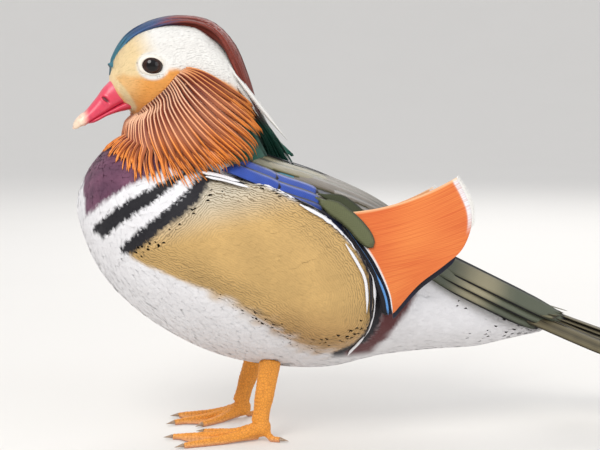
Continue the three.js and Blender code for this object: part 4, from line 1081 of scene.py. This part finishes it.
def crestTint(points, share, edge, lots):
    p = turn(points, -bird["headTurn"])
    x, z = p[..., 0], p[..., 2]
    run = step(x + 0.12 * np.abs(p[..., 1]) + 9 * (lots - 0.5) + 6 * (share - 0.5), -86, -68)
    tint = mix(mix(colours["teal"], colours["steel"], step(x, -106, -94)), colours["copper"], run)
    tint = mix(tint, colours["copperDark"], step(-z + 10 * (lots - 0.5), -200, -182))
    tint = mix(tint, colours["bottle"], step(-z + 8 * (lots - 0.5), -184, -174))
    # random tone for each feather, and each lock painted darker towards its sides as shade on its rounded
    # form
    return np.clip(tint * (0.75 + 0.4 * lots[..., None]) * (1 - 0.3 * np.abs(edge)[..., None] ** 2), 0, 1)


draw = np.random.default_rng(crestLook["seed"])
count = crestLook["count"]
start = np.sort(draw.uniform(0.03, 0.74, count))
span = crestLook["length"] * draw.uniform(0.8, 1.15, count) * (0.55 + 0.6 * step(start, 0, 0.4))
finish = np.minimum(start + span, 0.965 + 0.03 * draw.random(count))
t = np.linspace(0, 1, crestLook["stations"])[None]
s = start[:, None] + (finish - start)[:, None] * t
angle = np.radians(draw.uniform(-1, 1, count))[:, None] * crestWidth(s)
centre, up = formPlace(crestShape, s, angle)
lift = -1.3 + (1.0 + 0.6 * draw.random(count)[:, None]) * step(t, 0, 0.3) - 0.3 * step(t, 0.8, 1)
centre = centre + up * lift[..., None]
half = crestLook["half"] * draw.uniform(0.8, 1.2, count)[:, None] * pointed(t, 0.35, 0.25, 0.6)
centre, up = turn(centre, bird["headTurn"]), turnWay(up, bird["headTurn"])
settle(addFeathers("crestFeathers", centre, up, np.maximum(half, 0.15), crestLook["thick"] * (1 - 0.5 * t),
                   crestTint, crestPaint, unwrap=ownCells, rolls=draw.normal(0, 0.12, count), patch=0.03,
                   soft=0.4), "crest", "crest")
# a core below the feathers, drawn in at its sides
rings, sides = crestLook["coreRings"], crestLook["coreSides"]
core, coreFaces = loft(crestShape, rings, sides)
coreS = np.repeat(np.linspace(0, 1, rings + 1)[1:-1], sides)
coreAngle = np.tile(np.linspace(0, 2 * math.pi, sides, endpoint=False), rings - 1)
_, coreUp = formPlace(crestShape, coreS, coreAngle)
past = 180 - np.abs(np.degrees(coreAngle) - 180) - crestWidth(coreS)
core[:-2] -= coreUp * (1.7 + 5.0 * step(past, -8, 25) * step(-coreS, -0.62, -0.5))[:, None]
core = turn(core, bird["headTurn"])
crestCore = addMesh("crestCore", toFrame(core), coreFaces)
putColours(crestCore.data, "tint", crestTint(core, 0.5, np.zeros(len(core)), np.full(len(core), 0.2)))
crestCore.data.materials.append(skinPaint)
settle([crestCore], "crest", "crest")


def bezier(first, middle, last, t):
    first, middle, last = (np.asarray(v, float)[..., None, :] for v in (first, middle, last))
    t = t[..., None]
    return first * (1 - t) ** 2 + 2 * middle * t * (1 - t) + last * t ** 2


# Green feathers of the nape, that fill in below the crest's end
napeLook = {"count": 320, "half": 1.15, "seed": 14}
draw = np.random.default_rng(napeLook["seed"])
count = napeLook["count"]
aside, low, t = draw.uniform(-1, 1, count), draw.random(count), np.linspace(0, 1, 12)
start = np.stack([-41 + 4 * low, 15 * aside, 200 - 16 * low], -1)
finish = np.stack([-18 + 17 * (1 - low), 8 * aside, 153.5 + 1.0 * low - 2.5 * aside ** 2], -1)
bend = np.stack([-20 + 3 * (1 - low), 13 * aside, 178 - 4 * low], -1)
centre = bezier(start, bend, finish, np.tile(t, (count, 1)))
up = unit(centre - np.array([-60, 0, 160.0]))
half = napeLook["half"] * pointed(t, 0.4, 0.3, 0.6) * np.ones((count, 1))
centre, up = turn(centre, bird["headTurn"]), turnWay(up, bird["headTurn"])
settle(addFeathers("napeFeathers", centre, up, np.maximum(half, 0.12), 0.4 * (1 - 0.5 * t), crestTint,
                   crestPaint, unwrap=ownCells, patch=0.04, soft=0.4), "crest")

# White streaks of the brow, that hang over the nape
streaks = {"paths": [[(-44, -15.6, 211.5), (-31, -14.4, 196), (-20.5, -9.6, 180.5)],
                     [(-42, -17.5, 207.5), (-28, -18.5, 190.0), (-8.5, -12.5, 168.5)],
                     [(-46, -17.0, 209), (-36, -16.6, 197), (-25.5, -13.0, 182)]],
           "half": 1.6}
t = np.linspace(0, 1, 14)
path = np.array(streaks["paths"], float)
centre = bezier(path[:, 0], path[:, 1], path[:, 2], np.tile(t, (len(path), 1)))
centre = np.concatenate([centre, centre * (1, -1, 1)])
up = unit(np.array([0.25, 1.0, 0.3]) * np.where(centre[..., 1:2] < 0, (1, -1, 1), (1, 1, 1)))
half = streaks["half"] * pointed(t, 0.4, 0.3, 0.55)
centre, up = turn(centre, bird["headTurn"]), turnWay(up, bird["headTurn"])
settle(addFeathers("browStreaks", centre, up, np.maximum(half, 0.12), 0.6 * (1 - 0.4 * t),
                   plainTint(colours["brow"]), crestPaint, unwrap=ownCells, patch=0.2), "head_feathers")

print("Wings")
# the wings lie on the trunk's form, a little wider and higher
wingWider = [0, 0, 0, 0.8] + [1.1] * 7 + [0.8, 0]
wingShape = dict(torsoShape, half=[h + more for h, more in zip(torsoShape["half"], wingWider)],
                 upper=[(x, z + (1.3 if 2 < k < 12 else 0)) for k, (x, z) in enumerate(torsoShape["upper"])])
wingPaint = plumagePaint("wingFeathers", 4.2, 0.12, rough=0.45, sheen=0.05, lift=0.3, rims=True)
# each row: root and tip as (share along the body, degrees from its top line), the step to the next, and looks
wingRows = [
    {"from": (0.47, 26), "to": (0.665, 31), "step": (0.0, 9), "count": 4, "half": 7.5, "lift": 0.7,
     "look": ("navy", "black")},
    {"from": (0.45, 29.5), "to": (0.572, 33.5), "step": (0.002, 7.6), "count": 3, "half": 5.4, "lift": 1.6,
     "look": ("cobalt", "black")},
    {"from": (0.405, 28.5), "to": (0.505, 31), "step": (0.002, 7.4), "count": 2, "half": 5.2, "lift": 2.3,
     "look": ("cobalt", "black")},
    {"from": (0.46, 21), "to": (0.635, 26), "step": (0.0, 4), "count": 1, "half": 4.6, "lift": 2.0,
     "look": ("teal", "navy")},
    {"from": (0.56, 14), "to": (0.795, 14), "step": (-0.014, 8.5), "count": 4, "half": 6.4, "lift": 2.2,
     "look": ("greyBrown", "rump")},
    {"from": (0.50, 7), "to": (0.725, 8), "step": (-0.012, 8), "count": 3, "half": 6.0, "lift": 3.0,
     "look": ("greyBrown", "mantle")},
    {"from": (0.42, 11), "to": (0.615, 13), "step": (-0.012, 7), "count": 2, "half": 4.8, "lift": 3.2,
     "look": ("oliveBeige", "olive")},
    {"from": (0.36, 5), "to": (0.54, 4), "step": (-0.006, 8), "count": 3, "half": 4.6, "lift": 3.6,
     "look": ("mantle", "rump")},
    {"from": (0.37, 1.5), "to": (0.60, 4), "step": (0, 0), "count": 1, "half": 1.3, "lift": 4.4,
     "look": ("black", "black")},
]


def vaneWidth(t, root=0.4, blunt=0.8):       # share of a flight feather's half width along it
    body = root + (1 - root) * step(t, 0, 0.35)
    return body * np.sqrt(np.clip(1 - (np.clip(t - blunt, 0, 1) / (1.0001 - blunt)) ** 2, 0, 1))


def vaneTint(base, shaft=None):
    def paintIt(points, share, edge, lots):
        tint = base[:, None] * (0.9 + 0.2 * lots[..., None])
        if shaft is not None:
            tint = mix(tint, shaft, step(-np.abs(edge), -0.1, -0.02) * 0.6)
        return np.clip(tint * (1 + 0.08 * ripple(points, 9, 31)[..., None]), 0, 1)
    return paintIt


def wingRow(row, side):
    count, t = row["count"], np.linspace(0, 1, 18)
    k = np.arange(count)[:, None]
    s = row["from"][0] + (row["to"][0] - row["from"][0]) * t + row["step"][0] * k
    degrees = row["from"][1] + (row["to"][1] - row["from"][1]) * t + row["step"][1] * k
    centre, up = formPlace(wingShape, s, np.radians(degrees) * side)
    lift = row["lift"] - 0.4 * k
    centre = centre + up * (-0.8 + (lift + 0.8) * step(t, 0, 0.3) - 0.35 * step(t, 0.7, 1))[..., None]
    half = row["half"] * vaneWidth(t) * np.ones((count, 1))
    return centre, up, half, np.full(count, math.radians(7.0) * side)


def flightTint(points, share, edge, lots):
    tint = mix(colours["primary"], colours["pale"], step(-np.abs(share - 0.45), -0.2, -0.02) * 0.6)
    return np.clip(tint * (0.85 + 0.3 * lots[..., None]), 0, 1)


flightLook = {"count": 3, "half": 6.0, "start": 0.71, "degrees": (-46, -8.5),
              "bend": (108, -22, 87), "bendStep": (-2.6, -1.4, -4.6),
              "tip": (161, -6, 60), "tipStep": (-9.5, -3.0, -0.4)}


for side, node in ((-1, "wing_left"), (1, "wing_right")):
    rows = [wingRow(row, side) for row in wingRows]
    centre, up, half, rolls = (np.concatenate([r[k] for r in rows]) for k in range(4))
    base, rim = (np.array([colours[row["look"][k]] for row in wingRows for _ in range(row["count"])])
                 for k in (0, 1))
    thick = 0.7 * (1 - 0.5 * np.linspace(0, 1, centre.shape[1]))
    made = addFeathers(node + "_covers", centre, up, half, thick, vaneTint(base), wingPaint, section="vane",
                       unwrap=ownCells, rolls=rolls, patch=0.16, rims=rim)
    settle(made, "wing", node)
    # the long outer flight feathers
    count, t = flightLook["count"], np.linspace(0, 1, 22)
    k = np.arange(count)[:, None]
    degrees = flightLook["degrees"][0] + flightLook["degrees"][1] * np.arange(count)
    root, _ = formPlace(wingShape, np.full(count, flightLook["start"]), np.radians(degrees))
    bend = np.array(flightLook["bend"]) + k * np.array(flightLook["bendStep"])
    tip = np.array(flightLook["tip"]) + k * np.array(flightLook["tipStep"])
    centre = bezier(root, bend, tip, np.tile(t, (count, 1)))
    up = np.broadcast_to(unit(np.array([0.25, -0.82, 0.5])), centre.shape).copy()
    centre[..., 1] *= -side
    up[..., 1] *= -side
    half = flightLook["half"] * vaneWidth(t, 0.5, 0.72) * np.ones((count, 1))
    made = addFeathers(node + "_flight", centre, up, half, 0.8 * (1 - 0.5 * t), flightTint, wingPaint,
                       section="vane", unwrap=ownCells, patch=0.3,
                       rims=np.repeat(colours["black"][None], count, 0))
    settle(made, "wing", node)

print("Flank edges")
# narrow feathers that end the flank above and behind, along lines in the side view, off mm above the coat
edgeRows = [
    {"line": [(-6, 135.4), (7.6, 127.5), (18.8, 116.8), (24, 110)], "off": 0, "half": 1.5, "look": "white"},
    {"line": [(-9, 138.2), (6, 130.2), (18.5, 119.6), (25, 112)], "off": 0.3, "half": 1.3, "look": "black"},
    {"line": [(21, 120), (27.5, 111), (31.6, 101), (33.4, 88), (32.9, 70), (30, 62.5)],
     "off": 0.3, "half": 1.9, "look": "white"},
    {"line": [(19.5, 117), (26, 107.5), (30.2, 98), (31.6, 86), (31.2, 72), (29.6, 66)],
     "off": 0.5, "half": 0.8, "look": "black"},
    {"line": [(18, 114.5), (24, 105), (28.4, 96), (29.8, 86), (29.8, 76)],
     "off": 0, "half": 1.0, "look": "white"},
    {"line": [(30, 62.5), (27, 57.5), (24, 53.5), (22.5, 50)], "off": 0, "half": 1.2, "look": "white"},
    {"line": [(0, 134), (12, 128.5), (22, 121), (32, 109.5)],
     "off": 5.5, "half": 4.8, "look": "olive", "blunt": 0.75},
    {"line": [(4, 136.5), (17, 131), (27, 123), (35.5, 112.5)],
     "off": 4.7, "half": 4.6, "look": "oliveDark", "blunt": 0.75},
    {"line": [(-60, 152), (-50, 149.4), (-38, 145.8)], "off": 2.0, "half": 1.7, "look": "white"},
    {"line": [(-57, 149.6), (-46, 147.2), (-33, 143.4)], "off": 1.4, "half": 1.5, "look": "white"},
    {"line": [(-58, 150.8), (-47, 148.0), (-33, 144.6)], "off": 1.8, "half": 0.7, "look": "black"},
]


def onSide(line, side, lift, stations):       # a line of the side view laid on the flesh
    line = np.array(line, float)
    run = np.concatenate([[0], np.cumsum(np.linalg.norm(np.diff(line, axis=0), axis=1))])
    at = np.linspace(0, run[-1], stations)
    x, z = np.interp(at, run, line[:, 0]), np.interp(at, run, line[:, 1])
    start = np.stack([x, np.full(stations, 90.0 * side), z], -1)
    hit, normal = skinSurface.cast(start, np.broadcast_to(np.array([0.0, -side, 0.0]), start.shape))
    return hit + normal * lift, normal


def openCurve(line, t):       # a smooth line through points, at shares t from its first to its last
    longer = np.vstack([2 * line[0] - line[1], line, 2 * line[-1] - line[-2]])
    return closedCurve(longer, (1 + t * (len(line) - 1)) / len(longer))


def smoothLine(line, parts=8):
    line = np.array(line, float)
    return openCurve(line, np.linspace(0, 1, (len(line) - 1) * parts))


for side, name in ((-1, "left"), (1, "right")):
    centre, up, half, tints = [], [], [], []
    t = np.linspace(0, 1, 26)
    for row in edgeRows:
        place, normal = onSide(smoothLine(row["line"]), side, 1.35 + row["off"], len(t))
        if "blunt" in row:
            normal = unit(0.35 * normal + np.array([0, 0.65 * side, 0]))
        centre.append(place)
        up.append(normal)
        width = vaneWidth(t, 0.15, row["blunt"]) if "blunt" in row else pointed(t, 0.35, 0.18, 0.72)
        half.append(row["half"] * width)
        tints.append(colours[row["look"]])
    tints = np.array(tints)
    made = addFeathers("flankEdge_" + name, np.array(centre), np.array(up), np.maximum(np.array(half), 0.12),
                       0.55, plainTint(tints[:, None]), wingPaint, section="vane", unwrap=ownCells, patch=0.3,
                       rims=tints * 0.75)
    settle(made, "flank")

print("Sails")
sailLook = {"shaft": [(45.5, 75, -48.5), (43.5, 86, -49), (36, 103, -48.5), (28, 115.5, -46.5),
                      (17, 131, -42.5)],
            "rear": [(45.5, 75, -48.5), (60, 91, -48), (75, 101.5, -46), (85, 109.5, -44), (90.5, 121, -42),
                     (91, 131, -40.5), (87.5, 141, -39), (83, 149.5, -38)],
            "sag": 4.5, "thick": 0.9, "across": 90, "along": 110, "farDrop": 11.0, "farBack": 4.0,
            "fringe": 0.035, "fringeFrom": 0.6}
sailPaint = Paint("sailVane", Roughness=0.6, Sheen_Weight=0.3, Specular_IOR_Level=0.3)
along, across, _ = sailPaint.split(sailPaint.attribute("vane", "Vector"))
wander = sailPaint.noise(sailPaint.place(), 160.0)
barb = (across * 6.0 + along * 0.8 + wander * 3.0).sine() * 0.5 + 0.5
stretched = sailPaint.node("ShaderNodeCombineXYZ", {}, {0: along * 0.02, 1: across * 0.9})
streak = sailPaint.noise(stretched, 1.4, 4.0)
shade = 0.9 + 0.1 * barb
tone = sailPaint.node("ShaderNodeCombineColor", {}, {"Red": shade, "Green": shade, "Blue": shade})
barred = sailPaint.blend(1.0, sailPaint.attribute("tint"), tone, "MULTIPLY")
streaked = sailPaint.blend(streak.above(0.35, 0.75) * 0.4, barred, colours["sailDeep"], "MULTIPLY")
sailPaint.feed("Base Color", streaked)
sailPaint.feed("Normal", sailPaint.bump(barb, 0.3, 0.0002))


def sailPoints(u, v):
    shaft = np.array(sailLook["shaft"], float)[:, (0, 2, 1)]
    rear = np.array(sailLook["rear"], float)[:, (0, 2, 1)]
    v = np.clip(v, 0, 0.99999)
    p = openCurve(shaft, v) * (1 - u[..., None]) + openCurve(rear, v) * u[..., None]
    p[..., 2] -= sailLook["sag"] * v * v * 4 * u * (1 - u)
    return p


def toFarSail(points):        # from the left sail to the right one, which stands lower
    return points * (1, -1, 1) + (sailLook["farBack"], 0, -sailLook["farDrop"])


def sailSheet(name, side, node, move=(0.0, 0.0, 0.0), tintOf=None, slot="sail", inset=0.0):
    wide, tall = sailLook["across"], sailLook["along"]
    u, v = np.meshgrid(np.linspace(0, 1, wide + 1), np.linspace(0.012, 1, tall + 1))
    u = u * (1 - inset * step(v, 0.25, 0.6))
    p = sailPoints(u, v)
    du = sailPoints(np.clip(u + 0.01, 0, 1), v) - sailPoints(np.clip(u - 0.01, 0, 1), v)
    dv = sailPoints(u, np.clip(v + 0.01, 0, 1)) - sailPoints(u, np.clip(v - 0.01, 0, 1))
    normal = unit(np.cross(du, dv))
    thin = sailLook["thick"] * (1 - 0.6 * u)[..., None] / 2
    both = np.concatenate([(p + normal * thin).reshape(-1, 3), (p - normal * thin).reshape(-1, 3)]) + move
    if side > 0:
        both = toFarSail(both)
    size = (wide + 1) * (tall + 1)
    at = lambda i, j: j * (wide + 1) + i
    faces = [(at(i, j), at(i + 1, j), at(i + 1, j + 1), at(i, j + 1))
             for j in range(tall) for i in range(wide)]
    faces += [tuple(k + size for k in f[::-1]) for f in faces]
    rim = [(at(i, 0), at(i + 1, 0)) for i in range(wide)]
    rim += [(at(wide, j), at(wide, j + 1)) for j in range(tall)]
    rim += [(at(i, tall), at(i - 1, tall)) for i in range(wide, 0, -1)]
    rim += [(at(0, j), at(0, j - 1)) for j in range(tall, 0, -1)]
    faces += [(b, a, a + size, b + size) for a, b in rim]
    if side > 0:
        faces = [f[::-1] for f in faces]
    thing = addMesh(name, toFrame(both), faces)
    uu, vv = np.tile(u.ravel(), 2), np.tile(v.ravel(), 2)
    putColours(thing.data, "tint", tintOf(uu, vv, both))
    putVectors(thing.data, "vane", np.stack([uu * 60, vv * 80, np.zeros_like(uu)], -1))
    thing.data.materials.append(sailPaint.material)
    return settle([thing], slot, node)


def sailTint(u, v, points):
    tint = mix(colours["sail"], colours["sailDeep"], 0.5 + 0.3 * ripple(points, 30, 17) - 0.3 * v)
    fringed = step(u, 1 - sailLook["fringe"] - 0.012, 1 - sailLook["fringe"]) * step(v, 0.52, 0.66)
    tint = mix(tint, colours["white"], fringed)
    tint = mix(tint, rgb("ffd9a8"), step(v, 0.975, 0.99) * 0.7)
    return np.clip(mix(tint, rgb("f6e6da"), step(-u, -0.02, -0.008)), 0, 1)


def navyTint(u, v, points):
    return mix(colours["navy"], colours["black"], 0.5 + 0.5 * ripple(points, 12, 2))


# lines ahead of the shaft: how far from it, half width, where along it they start, and looks
shaftRows = [{"off": (-1.2, 0.7, -0.4), "half": 2.6, "look": "navy"},
             {"off": (-3.6, 0.4, -0.8), "half": 2.6, "look": "black"},
             {"off": (-2.4, 0.1, -0.6), "half": 0.75, "look": "lightBlue", "from": (0.5, 0.62)},
             {"off": (0.0, -0.35, 0), "half": 0.35, "look": "white"}]
for side, node, wing in ((-1, "sail_left", "wing_left"), (1, "sail_right", "wing_right")):
    sailSheet("vane_" + node, side, node, tintOf=sailTint)
    sailSheet("under_" + node, side, wing, move=(0.6, 1.4, -3.2), tintOf=navyTint, slot="wing", inset=0.16)
    # the fringe: fine white barbs along the rear edge
    draw = np.random.default_rng(90)
    count, t = 260, np.linspace(0, 1, 5)
    v = np.linspace(0.58, 0.995, count) + draw.uniform(-0.002, 0.002, count)
    outer = sailPoints(np.ones(count), v)
    ahead = unit(outer - sailPoints(np.full(count, 0.93), v))
    upward = unit(sailPoints(np.ones(count), np.clip(v + 0.01, 0, 1)) - sailPoints(np.ones(count), v - 0.01))
    length = draw.uniform(1.2, 3.0, count) * (0.5 + 0.7 * np.sin(np.pi * (v - 0.55) / 0.5))
    run = -0.8 + (length[:, None] + 0.8) * t
    fringe = outer[:, None] + (ahead + 0.45 * upward)[:, None] * run[..., None]
    fringeUp = np.broadcast_to(unit(np.array([0.1, -1.0, 0.0])), fringe.shape)
    # navy band and light blue streak ahead of the shaft
    offs = np.array([row["off"] for row in shaftRows])[:, None]
    band = sailPoints(np.zeros(20), np.linspace(0.9, 0.0, 20)) + offs
    bandUp = np.broadcast_to(unit(np.array([-0.1, -1.0, 0.15])), band.shape)
    if side > 0:
        fringe, band = toFarSail(fringe), toFarSail(band)
        fringeUp, bandUp = fringeUp * (1, -1, 1), bandUp * (1, -1, 1)
    half = np.maximum(0.36 * (1 - t), 0.05) * np.ones((count, 1))
    settle(addFeathers("fringe_" + node, fringe, fringeUp, half, 0.3, plainTint(colours["brow"]), crestPaint,
                       unwrap=ownCells, patch=0.06), "sail")
    t = np.linspace(0, 1, 20)
    half = np.stack([row["half"] * pointed(t, 0.3, 0.2, 0.9, 1.1)
                     * (step(t, *row["from"]) if "from" in row else 1) for row in shaftRows])
    looks = np.array([colours[row["look"]] for row in shaftRows])
    settle(addFeathers("shaftBand_" + node, band, bandUp, np.maximum(half, 0.1), 0.6,
                       plainTint(looks[:, None]), wingPaint, section="vane", unwrap=ownCells, patch=0.3,
                       rims=looks * 0.6), "wing", wing)

print("Tail")
tailFan = {"count": 12, "root": (110, 84), "tip": (204, 48.0), "spreadRoot": 1.3, "spreadTip": 4.2,
           "shorter": 3.0, "drop": 1.25, "half": 6.2, "look": ("tail", "rump")}
tailCovers = {"count": 7, "root": (100, 88), "tip": (162, 66), "spreadRoot": 2.0, "spreadTip": 3.6,
              "shorter": 3.5, "drop": 0.8, "half": 5.2, "look": ("mantle", "rump")}
tailPaint = plumagePaint("tailFeathers", 4.0, 0.12, rough=0.5, sheen=0.05, rims=True)
t = np.linspace(0, 1, 22)
for name, fan in (("tailFan", tailFan), ("tailCovers", tailCovers)):
    k = np.arange(fan["count"]) - (fan["count"] - 1) / 2
    far = np.abs(k) + np.where(k > 0, 0.5, 0)
    drop = far * fan["drop"]
    root = np.stack([np.full_like(k, fan["root"][0]), k * fan["spreadRoot"], fan["root"][1] - drop], -1)
    tipX, tipZ = fan["tip"]
    tip = np.stack([tipX - far * fan["shorter"], k * fan["spreadTip"], tipZ - drop * 0.75], -1)
    centre = bezier(root, (root + tip) / 2 - (0, 0, 1.6), tip, np.tile(t, (fan["count"], 1)))
    up = unit(np.stack([np.zeros_like(k), k * 0.12, np.ones_like(k)], -1))[:, None] * np.ones((1, len(t), 1))
    half = fan["half"] * vaneWidth(t, 0.5, 0.8) * np.ones((fan["count"], 1))
    base, rim = (np.repeat(colours[fan["look"][j]][None], fan["count"], 0) for j in (0, 1))
    settle(addFeathers(name, centre, up, half, 0.75 * (1 - 0.5 * t), vaneTint(base, rgb("2a2418")), tailPaint,
                       section="vane", unwrap=ownCells, patch=0.2, rims=rim), "tail", "tail")

print("Legs")
legLook = {"voxel": 0.75, "smoothing": 4, "scutes": 2.3, "scuteHigh": 0.28, "fuller": 0.9,
           "ankle": {"left": (-26, -26, 8.0), "right": (-33, 26, 7.0)}, "ankleRadius": 4.6}
legPaint = Paint("legSkin", Roughness=0.5, Specular_IOR_Level=0.45)
scaleCells = legPaint.node("ShaderNodeTexVoronoi", {"feature": "DISTANCE_TO_EDGE"},
                           {"Vector": legPaint.place(), "Scale": 700.0})
legGrain = legPaint.noise(legPaint.place(), 300.0, 3.0)
seams = 1 - scaleCells.above(0.02, 0.14)
dark = seams * 0.45 + legGrain.above(0.5, 0.8) * 0.2
legPaint.feed("Base Color", legPaint.blend(dark, legPaint.attribute("tint"), rgb("a9601c")))
legPaint.feed("Roughness", 0.42 + 0.25 * legGrain)
legPaint.feed("Normal", legPaint.bump(scaleCells.above(0.0, 0.2), 0.5, 0.0003))
for side, name in ((-1, "left"), (1, "right")):
    pieces = []
    for node in ("leg_" + name, "foot_" + name):
        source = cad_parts[node].data
        pieces.append((toBird(meshPoints(source)), [tuple(p.vertices) for p in source.polygons]))
    ankle = legLook["ankle"][name]
    pieces.append(ball(np.array(ankle), legLook["ankleRadius"], 16, 20, (1.05, 0.9, 1.0)))
    leg = remeshed(joinMeshes("legSkin_" + name, pieces), legLook["voxel"], legLook["smoothing"])
    p, n = toBird(meshPoints(leg.data)), meshNormals(leg.data)
    shin = step(p[:, 2], 12, 15)
    run = np.where(shin > 0.5, p[:, 2], np.hypot(p[:, 0] - ankle[0], p[:, 1] - ankle[1]))
    saw = 1 - (run / legLook["scutes"]) % 1
    front = step(np.where(shin > 0.5, -n[:, 0], n[:, 2]), 0.1, 0.6)
    high = legLook["scuteHigh"] * np.where(shin > 0.5, front, front * step(p[:, 2], 2.2, 3.0))
    p += n * (high * (saw ** 0.6 - 0.5) + legLook["fuller"] * step(p[:, 2], 16, 26))[:, None]
    p[:, 2] = np.maximum(p[:, 2], 0.02)
    moveMesh(leg.data, toFrame(p))
    tint = mix(rgb("ee9d38"), rgb("e9b070"), step(-p[:, 2], -3.4, -1.2) * 0.8)
    tint = mix(tint, rgb("d98a78"), step(-p[:, 2], -2.0, -0.9) * 0.5)
    tint = mix(tint, rgb("b8701e"), step(-np.abs(saw - 0.04), -0.12, -0.02) * 0.6 * front)
    putColours(leg.data, "tint", tint)
    leg.data.materials.append(legPaint.material)
    settle([leg], "leg_skin", "leg_" + name, "foot_" + name)

clawPaint = grainPaint("clawHorn", 900.0, 3.0, 1.0, rgb("6e5a48"), rgb("c0a58c"), 0.3, Roughness=0.35,
                       Specular_IOR_Level=0.5)
for name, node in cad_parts.items():
    if name.startswith("claw_"):
        node.data.materials.clear()
        node.data.materials.append(clawPaint)

print("Floor, light and camera")
studio = {"floor": "cfccc7", "floorDark": "c6c3bd", "flat": 2.4, "wall": 2.6, "sides": 72, "world": 0.8,
          "distance": 0.75, "pixelsPerMetre": 1293.0, "pixelsWide": 600, "yaw": 7.0, "height": 6.0,
          "target": (0.0, 0.0, 120.0)}
floorPaint = Paint("floor", Roughness=0.85, Emission_Color=(1, 1, 1, 1), Emission_Strength=0.16)
floorGrain = floorPaint.noise(floorPaint.place(), 6.0, 3.0)
floorTone = floorPaint.blend(floorGrain * 0.3, rgb(studio["floor"]), rgb(studio["floorDark"]))
floorPaint.feed("Base Color", floorTone)
bend = np.linspace(0.1, math.pi / 2, 14)       # where the floor turns up into the wall
radius = np.concatenate([np.linspace(0.2, studio["flat"], 8), studio["flat"] + studio["wall"] * np.sin(bend)])
rise = np.concatenate([np.zeros(8), studio["wall"] * (1 - np.cos(bend))])
around = np.linspace(0, 2 * math.pi, studio["sides"], endpoint=False)
points = np.stack([radius[:, None] * np.cos(around), radius[:, None] * np.sin(around),
                   rise[:, None] + 0 * around], -1)
faces = ringFaces(len(radius), studio["sides"], turned=True) + [tuple(range(studio["sides"]))]
floor = addMesh("floor", points.reshape(-1, 3), faces)
floor.data.materials.append(floorPaint.material)

target = toFrame(studio["target"])
yaw, height = math.radians(studio["yaw"]), math.radians(studio["height"])
view = np.array([math.sin(yaw) * math.cos(height), math.cos(yaw) * math.cos(height), -math.sin(height)])
camera = bpy.data.objects.new("camera", bpy.data.cameras.new("camera"))
camera.location = Vector(target - view * studio["distance"])
camera.rotation_euler = Vector(view).to_track_quat("-Z", "Y").to_euler()
camera.data.sensor_width = 36.0
camera.data.lens = studio["pixelsPerMetre"] / studio["pixelsWide"] * camera.data.sensor_width
camera.data.clip_start = 0.01
scene.collection.objects.link(camera)
scene.camera = camera


def addLight(name, place, size, watts, colour=(1, 1, 1)):
    light = bpy.data.lights.new(name, "AREA")
    light.shape, light.size, light.energy, light.color = "DISK", size, watts, colour
    thing = bpy.data.objects.new(name, light)
    thing.location = place
    thing.rotation_euler = (Vector(target) - Vector(place)).to_track_quat("-Z", "Y").to_euler()
    scene.collection.objects.link(thing)


addLight("key", (-0.7, -1.0, 1.3), 0.9, 16.0, (1.0, 0.98, 0.95))
addLight("fill", (1.2, -0.9, 0.7), 1.2, 5.0, (0.95, 0.97, 1.0))
addLight("back", (0.4, 1.2, 1.1), 1.0, 9.0)
world = bpy.data.worlds.new("studio")
world.use_nodes = True
world.node_tree.nodes["Background"].inputs["Color"].default_value = (0.93, 0.95, 1.0, 1)
world.node_tree.nodes["Background"].inputs["Strength"].default_value = studio["world"]
scene.world = world
scene.view_settings.view_transform = "Standard"

print("Done")
